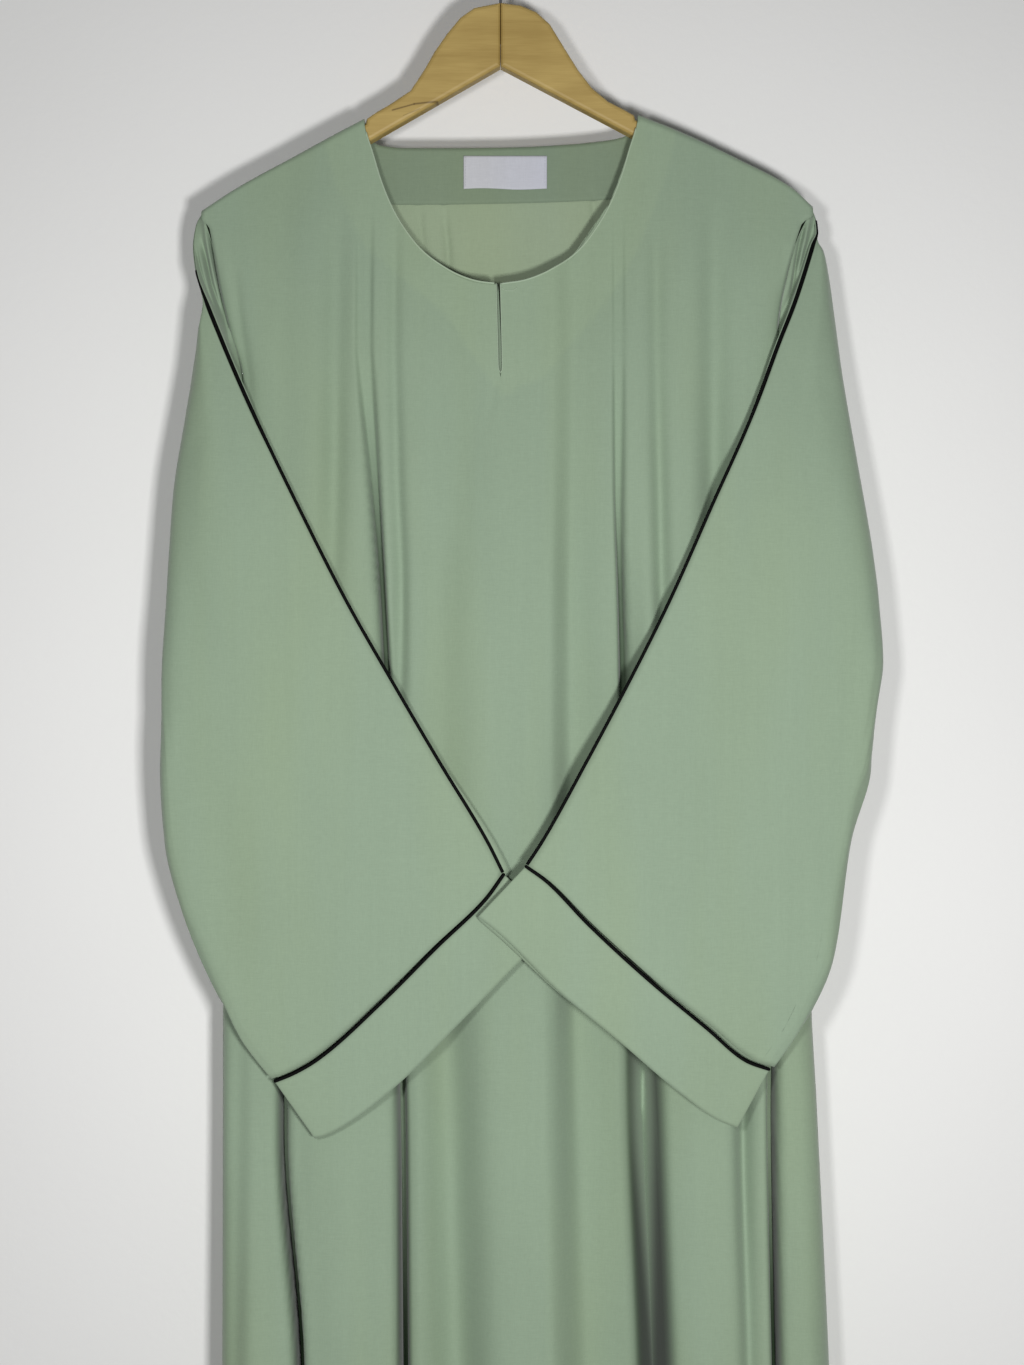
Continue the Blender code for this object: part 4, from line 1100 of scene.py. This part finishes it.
LEFT = Sleeve(1, SEAM_LEFT, UNDER_LEFT, OUTLINE_LEFT, FRONT_LEFT, BACK_LEFT,
              CUFF_SEAM_LEFT, CUFF_HEM_LEFT, CUFF_DEPTH_LEFT, *SLEEVE_FIT_LEFT)
RIGHT = Sleeve(-1, SEAM_RIGHT, UNDER_RIGHT, OUTLINE_RIGHT, FRONT_RIGHT, BACK_RIGHT,
               CUFF_SEAM_RIGHT, CUFF_HEM_RIGHT, CUFF_DEPTH_RIGHT, *SLEEVE_FIT_RIGHT)


def build_sleeve(side, sleeve):
    """Both halves of a sleeve, its cuff and its two runs of piping."""
    halves = []
    for part, back_half in (("under", False), ("over", True)):
        rows = {}

        def place(u, v, rows=rows, back_half=back_half):
            r = sleeve.stop * v
            key = round(v * SLEEVE_ROWS)
            if key not in rows:
                rows[key] = sleeve.row(r, back_half)
            x, y, z = sleeve.at(rows[key], r, u)
            free = smooth(u / 0.12) * smooth((1 - u) / 0.08) * smooth((0.985 - v) / 0.05) * smooth(v / 0.1)
            held = smooth(u / 0.04) * smooth((1 - u) / 0.08) * smooth(v / 0.01)
            head = 1.0 if back_half else smooth((z + 360.0) / 30.0)
            y += held * head * crease_at(SLEEVE_CREASES, x, z)
            y += free * uneven(x, z, UNEVEN_OVER if back_half else UNEVEN_UNDER)
            pucker = noise.noise(Vector((r * 60.0, 0.0, 5.0))) * math.exp(-(1 - u) * 14.0) * (1 - u) ** 0.5
            return x, y + 0.9 * pucker, z
        halves.append(sheet(f"sleeve_{side}_{part}", [(SLEEVE_COLUMNS, SLEEVE_ROWS, place)], CREPE))
    start = (PIPE_CUFF + TRIM_GAP) / BAND_WIDTH

    def cuff(u, v):
        x, y, z = sleeve.ring(lerp(start, 1.0, v), u)
        return x, y + UNEVEN_CUFF * noise.noise(Vector((x / 22.0, y / 4.0, z / 22.0))), z

    band = sheet(f"cuff_band_{side}", [(CUFF_COLUMNS, CUFF_ROWS, cuff)], CREPE)
    seam = [sleeve.seam(lerp(sleeve.piped, 0.997, i / PIPE_STEPS)) for i in range(PIPE_STEPS + 1)]
    overarm = cord(f"overarm_piping_{side}", [seam], PIPE_SLEEVE)
    loop = [sleeve.ring(0.0, i / CUFF_COLUMNS) for i in range(CUFF_COLUMNS)]
    wrist = cord(f"cuff_piping_{side}", [loop], PIPE_CUFF, closed=True)
    return halves[0], halves[1], band, overarm, wrist


# Materials

def add_node(tree, kind, inputs=None, **settings):
    """A node with its settings, and its inputs set to values or linked to sockets."""
    item = tree.nodes.new(kind)
    for key, value in settings.items():
        setattr(item, key, value)
    for key, value in (inputs or {}).items():
        if isinstance(value, bpy.types.NodeSocket):
            tree.links.new(value, item.inputs[key])
        else:
            item.inputs[key].default_value = value
    return item


def maths(tree, operation, *values, **settings):
    """The result of a Math node on values or sockets."""
    return add_node(tree, "ShaderNodeMath", dict(enumerate(values)), operation=operation,
                    **settings).outputs[0]


def vector_maths(tree, operation, first, second, output="Vector"):
    """The result of a Vector Math node; for SCALE the second is a number or its socket."""
    inputs = {0: first, "Scale" if operation == "SCALE" else 1: second}
    return add_node(tree, "ShaderNodeVectorMath", inputs, operation=operation).outputs[output]


def mix(tree, share, first, second):
    """Colour between two, each a socket or three numbers."""
    ends = [end if isinstance(end, bpy.types.NodeSocket) else (*end, 1.0) for end in (first, second)]
    return add_node(tree, "ShaderNodeMix", {0: share, 6: ends[0], 7: ends[1]}, data_type="RGBA").outputs[2]


def noise_at(tree, where, detail, scale=1.0, stretch=None, **inputs):
    """Noise from 0 to 1 at a place, stretched by three numbers or not at all."""
    if stretch:
        where = add_node(tree, "ShaderNodeMapping", {"Vector": where, "Scale": stretch}).outputs[0]
    inputs.update({"Vector": where, "Scale": scale, "Detail": detail})
    return add_node(tree, "ShaderNodeTexNoise", inputs).outputs[0]


def ranged(tree, value, **limits):
    """A value taken from one range to another; limits are From_Min, From_Max, To_Min and To_Max."""
    inputs = {key.replace("_", " "): limit for key, limit in limits.items()}
    return add_node(tree, "ShaderNodeMapRange", {"Value": value, **inputs}).outputs[0]


def relief(tree, shader, height, strength, distance):
    """Bump the shader's normal by a height."""
    bump = add_node(tree, "ShaderNodeBump", {"Height": height, "Strength": strength, "Distance": distance})
    tree.links.new(bump.outputs[0], shader.inputs["Normal"])


def new_group(name, inputs, outputs):
    """A shader node group with its input and output nodes; inputs are (name, kind, value)."""
    tree = bpy.data.node_groups.new(name, "ShaderNodeTree")
    for key, kind, value in inputs:
        socket = tree.interface.new_socket(key, in_out="INPUT", socket_type=kind)
        if value is not None:
            socket.default_value = value
    for key, kind in outputs:
        tree.interface.new_socket(key, in_out="OUTPUT", socket_type=kind)
    return tree, tree.nodes.new("NodeGroupInput").outputs, tree.nodes.new("NodeGroupOutput").inputs


def crepe_group():
    """Crepe: fine threads both ways, slubs, grain and broad soft changes of shade."""
    tree, given, result = new_group(
        "crepe",
        [("Vector", "NodeSocketVector", None), ("Color", "NodeSocketColor", None),
         ("Contrast", "NodeSocketFloat", 1.0)],
        [("Color", "NodeSocketColor"), ("Height", "NodeSocketFloat")])
    layers = [noise_at(tree, given["Vector"], detail, stretch=stretch) for stretch, detail, weight in WEAVE]
    total = None
    for value, (stretch, detail, weight) in zip(layers, WEAVE):
        part = maths(tree, "MULTIPLY", maths(tree, "SUBTRACT", value, 0.5), weight)
        total = part if total is None else maths(tree, "ADD", total, part)
    shade = maths(tree, "MULTIPLY_ADD", total, given["Contrast"], 1.0)
    tree.links.new(vector_maths(tree, "SCALE", given["Color"], shade), result["Color"])
    tree.links.new(maths(tree, "ADD", layers[0], layers[1]), result["Height"])
    return tree


def stroke_group():
    """A mask along one straight stroke in the plane of X and Z."""
    tree, given, result = new_group(
        "stroke",
        [("Vector", "NodeSocketVector", None), ("Start", "NodeSocketVector", None),
         ("End", "NodeSocketVector", None), ("Width", "NodeSocketFloat", 0.001)],
        [("Mask", "NodeSocketFloat")])
    flat = vector_maths(tree, "MULTIPLY", given["Vector"], (1, 0, 1))
    run = vector_maths(tree, "SUBTRACT", given["End"], given["Start"])
    away = vector_maths(tree, "SUBTRACT", flat, given["Start"])
    ahead = vector_maths(tree, "DOT_PRODUCT", away, run, "Value")
    size = vector_maths(tree, "DOT_PRODUCT", run, run, "Value")
    foot = vector_maths(tree, "SCALE", run, maths(tree, "DIVIDE", ahead, size, use_clamp=True))
    gap = vector_maths(tree, "DISTANCE", away, foot, "Value")
    near = maths(tree, "DIVIDE", gap, given["Width"], use_clamp=True)
    tree.links.new(maths(tree, "SUBTRACT", 1.0, near), result["Mask"])
    return tree


def new_material(name):
    """A material with its tree, its Principled shader and object coordinates."""
    material = bpy.data.materials.new(name)
    material.use_nodes = True
    tree = material.node_tree
    shader = tree.nodes["Principled BSDF"]
    where = add_node(tree, "ShaderNodeTexCoord").outputs["Object"]
    return material, tree, shader, where


def cloth_material(name, group, color, other, height=0.00012):
    """Matt crepe, color where the tone attribute is 0, other where it is 1, and a dark painted shade where
    it is -1.
    """
    material, tree, shader, where = new_material(name)
    tone = add_node(tree, "ShaderNodeAttribute", attribute_name="tone").outputs["Fac"]
    shade = mix(tree, tone, color, other)
    drift = ranged(tree, noise_at(tree, where, 2.0, stretch=(16, 16, 2.5)), From_Min=0.42, From_Max=0.72)
    shade = mix(tree, drift, shade, vector_maths(tree, "MULTIPLY", shade, WARM))
    # Below 0 the tone attribute marks the inside of deep folds, which are painted dark: painted shade
    deep = maths(tree, "MULTIPLY", tone, -1.0, use_clamp=True)
    crepe = add_node(tree, "ShaderNodeGroup", node_tree=group)
    tree.links.new(where, crepe.inputs["Vector"])
    tree.links.new(mix(tree, deep, shade, PAINTED_FOLD_SHADE), crepe.inputs["Color"])
    tree.links.new(crepe.outputs["Color"], shader.inputs["Base Color"])
    relief(tree, shader, crepe.outputs["Height"], 0.5, height)
    shader.inputs["Roughness"].default_value = 0.8
    shader.inputs["Specular IOR Level"].default_value = 0.25
    shader.inputs["Sheen Weight"].default_value = 0.22
    shader.inputs["Sheen Roughness"].default_value = 0.45
    return material


def cord_material(group):
    """Black piping: fine threads and a faint satin shine."""
    material, tree, shader, where = new_material("piping")
    crepe = add_node(tree, "ShaderNodeGroup", node_tree=group)
    tree.links.new(where, crepe.inputs["Vector"])
    crepe.inputs["Color"].default_value = (*PIPING, 1.0)
    crepe.inputs["Contrast"].default_value = 1.5
    tree.links.new(crepe.outputs["Color"], shader.inputs["Base Color"])
    relief(tree, shader, crepe.outputs["Height"], 0.6, 0.0002)
    shader.inputs["Roughness"].default_value = 0.75
    shader.inputs["Specular IOR Level"].default_value = 0.12
    return material


def wood_material(stroke):
    """Varnished pale wood: long grain, fine pores, soft blotches and a few fine cracks."""
    material, tree, shader, where = new_material("wood")
    drift = noise_at(tree, where, 4.0, stretch=(12, 60, 110), Distortion=0.6)
    pores = noise_at(tree, where, 2.0, stretch=(60, 400, 1300))
    grain = maths(tree, "MULTIPLY_ADD", drift, 0.55, 0.0)
    grain = maths(tree, "MULTIPLY_ADD", pores, 0.25, grain)
    grain = maths(tree, "MULTIPLY_ADD", noise_at(tree, where, 3.0, scale=22.0), 0.35, grain)
    color = mix(tree, ranged(tree, grain, From_Min=0.42, From_Max=0.74), WOOD_DARK, WOOD_LIGHT)
    for start, end, width, depth in CRACKS:
        mark = add_node(tree, "ShaderNodeGroup", node_tree=stroke)
        tree.links.new(where, mark.inputs["Vector"])
        mark.inputs["Start"].default_value = (start[0] * MM, 0.0, start[1] * MM)
        mark.inputs["End"].default_value = (end[0] * MM, 0.0, end[1] * MM)
        mark.inputs["Width"].default_value = width * MM
        color = mix(tree, maths(tree, "MULTIPLY", mark.outputs["Mask"], depth), color, WOOD_CRACK)
    tree.links.new(color, shader.inputs["Base Color"])
    relief(tree, shader, grain, 0.25, 0.0004)
    shader.inputs["Roughness"].default_value = 0.5
    shader.inputs["Specular IOR Level"].default_value = 0.35
    return material


def steel_material():
    """Drawn steel wire, a little dull."""
    material, tree, shader, where = new_material("steel")
    drawn = noise_at(tree, where, 2.0, stretch=(900, 900, 60))
    tree.links.new(ranged(tree, drawn, To_Min=0.25, To_Max=0.42), shader.inputs["Roughness"])
    tree.links.new(mix(tree, drawn, STEEL, STEEL_DULL), shader.inputs["Base Color"])
    shader.inputs["Metallic"].default_value = 1.0
    return material


def wall_material():
    """White wall paint, seen from the front only."""
    material, tree, shader, where = new_material("wall paint")
    shade = ranged(tree, noise_at(tree, where, 2.0, scale=2.5), To_Min=0.95, To_Max=1.03)
    tree.links.new(vector_maths(tree, "SCALE", WALL_PAINT, shade), shader.inputs["Base Color"])
    relief(tree, shader, noise_at(tree, where, 3.0, scale=160.0), 0.15, 0.001)
    shader.inputs["Roughness"].default_value = 0.7
    clear = add_node(tree, "ShaderNodeBsdfTransparent")
    side = add_node(tree, "ShaderNodeNewGeometry").outputs["Backfacing"]
    shown = add_node(tree, "ShaderNodeMixShader", {0: side, 1: shader.outputs[0], 2: clear.outputs[0]})
    tree.links.new(shown.outputs[0], tree.nodes["Material Output"].inputs["Surface"])
    return material


# The set: wall, lights and camera

WALL_Y = 52.0
# Lights: name, place, aimed at, size, power
LIGHTS = (
    ("right", (220, -1300, -730), (60, 0, -760), 130, 11.6),
    ("left", (-190, -1300, -520), (0, 0, -600), 110, 5.4),
)
WORLD_LIGHT = (0.86, 0.88, 0.9)
WORLD_STRENGTH = 0.14


def build_set():
    mesh = bpy.data.meshes.new("wall")
    flat = bmesh.new()
    bmesh.ops.create_grid(flat, x_segments=1, y_segments=1, size=3.0)
    for vertex in flat.verts:
        vertex.co = (vertex.co.x, WALL_Y * MM, vertex.co.y - 0.6)
    bmesh.ops.recalc_face_normals(flat, faces=flat.faces)
    flat.normal_update()
    for face in flat.faces:
        if face.normal.y > 0:
            face.normal_flip()
    flat.to_mesh(mesh)
    flat.free()
    wall = bpy.data.objects.new("wall", mesh)
    bpy.context.scene.collection.objects.link(wall)
    mesh.materials.append(wall_material())
    for name, place, aim, size, power in LIGHTS:
        lamp = bpy.data.lights.new(name, "AREA")
        lamp.size = size * MM
        lamp.energy = power
        holder = bpy.data.objects.new(name, lamp)
        holder.location = Vector(place) * MM
        holder.rotation_euler = (Vector(aim) - Vector(place)).to_track_quat("-Z", "Y").to_euler()
        bpy.context.scene.collection.objects.link(holder)
    world = bpy.data.worlds.new("room")
    world.use_nodes = True
    world.node_tree.nodes["Background"].inputs["Color"].default_value = (*WORLD_LIGHT, 1.0)
    world.node_tree.nodes["Background"].inputs["Strength"].default_value = WORLD_STRENGTH
    bpy.context.scene.world = world
    bpy.context.scene.view_settings.view_transform = "Standard"
    lens = bpy.data.cameras.new("camera")
    lens.lens = FOCAL_LENGTH
    lens.sensor_width = SENSOR
    camera = bpy.data.objects.new("camera", lens)
    camera.location = Vector(CAMERA_PLACE) * MM
    camera.rotation_euler = (math.radians(90), 0.0, 0.0)
    bpy.context.scene.collection.objects.link(camera)
    bpy.context.scene.camera = camera


def dress(piece, material, slot, *nodes):
    """The piece takes its material and stands for the frame's nodes."""
    piece.data.materials.clear()
    piece.data.materials.append(material)
    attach(piece, "root")
    if nodes:
        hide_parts(*nodes)
    return piece


def main():
    build_set()
    crepe = crepe_group()
    cloth = cloth_material("cloth", crepe, CLOTH, CLOTH_DOUBLE_PAINTED_LIGHT)
    back_cloth = cloth_material("cloth back", crepe, CLOTH, CLOTH_BACKLIT)
    sleeve_cloth = cloth_material("cloth sleeve", crepe, CLOTH, CLOTH)
    # The facings take a darker copy of the cloth: painted shade
    shaded_facing_cloth = cloth_material("facing", crepe, CLOTH_FACING_PAINTED_SHADE, CLOTH_FACING_PAINTED_SHADE)
    label_cloth = cloth_material("label", crepe, LABEL_CLOTH, LABEL_CLOTH)
    black = cord_material(crepe)
    wood = wood_material(stroke_group())
    steel = steel_material()
    for name in ("hanger_arm_left", "hanger_arm_right"):
        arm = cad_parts[name]
        arm.data.materials.clear()
        arm.data.materials.append(wood)
    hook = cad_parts["hanger_hook"]
    hook.data.materials.clear()
    hook.data.materials.append(steel)

    front, behind = build_panels()
    dress(front, cloth, "cloth", "body_front")
    # The edge cords take a lighter copy of the cloth: a painted highlight
    highlight_edge_cloth = cloth_material("cloth edge painted highlight", crepe, CLOTH_EDGE_PAINTED_HIGHLIGHT, CLOTH_EDGE_PAINTED_HIGHLIGHT)
    edges = [dress(piece, highlight_edge_cloth, "cloth") for piece in build_edges()]
    dress(behind, back_cloth, "cloth", "body_back")
    front_facing, back_facing, label, label_threads = build_facings()
    dress(front_facing, shaded_facing_cloth, "facing", "neck_facing_front")
    dress(back_facing, shaded_facing_cloth, "facing", "neck_facing_back")
    dress(label, label_cloth, "label", "label")
    dress(label_threads, label_cloth, "label")
    for side, sleeve in (("left", LEFT), ("right", RIGHT)):
        under, over, cuff, overarm, wrist = build_sleeve(side, sleeve)
        dress(under, sleeve_cloth, "cloth_sleeve", f"sleeve_{side}_front")
        dress(over, sleeve_cloth, "cloth_sleeve", f"sleeve_{side}_back")
        dress(cuff, sleeve_cloth, "cloth_sleeve", f"cuff_{side}")
        dress(overarm, black, "piping", f"piping_sleeve_{side}")
        dress(wrist, black, "piping", f"piping_cuff_{side}")


main()
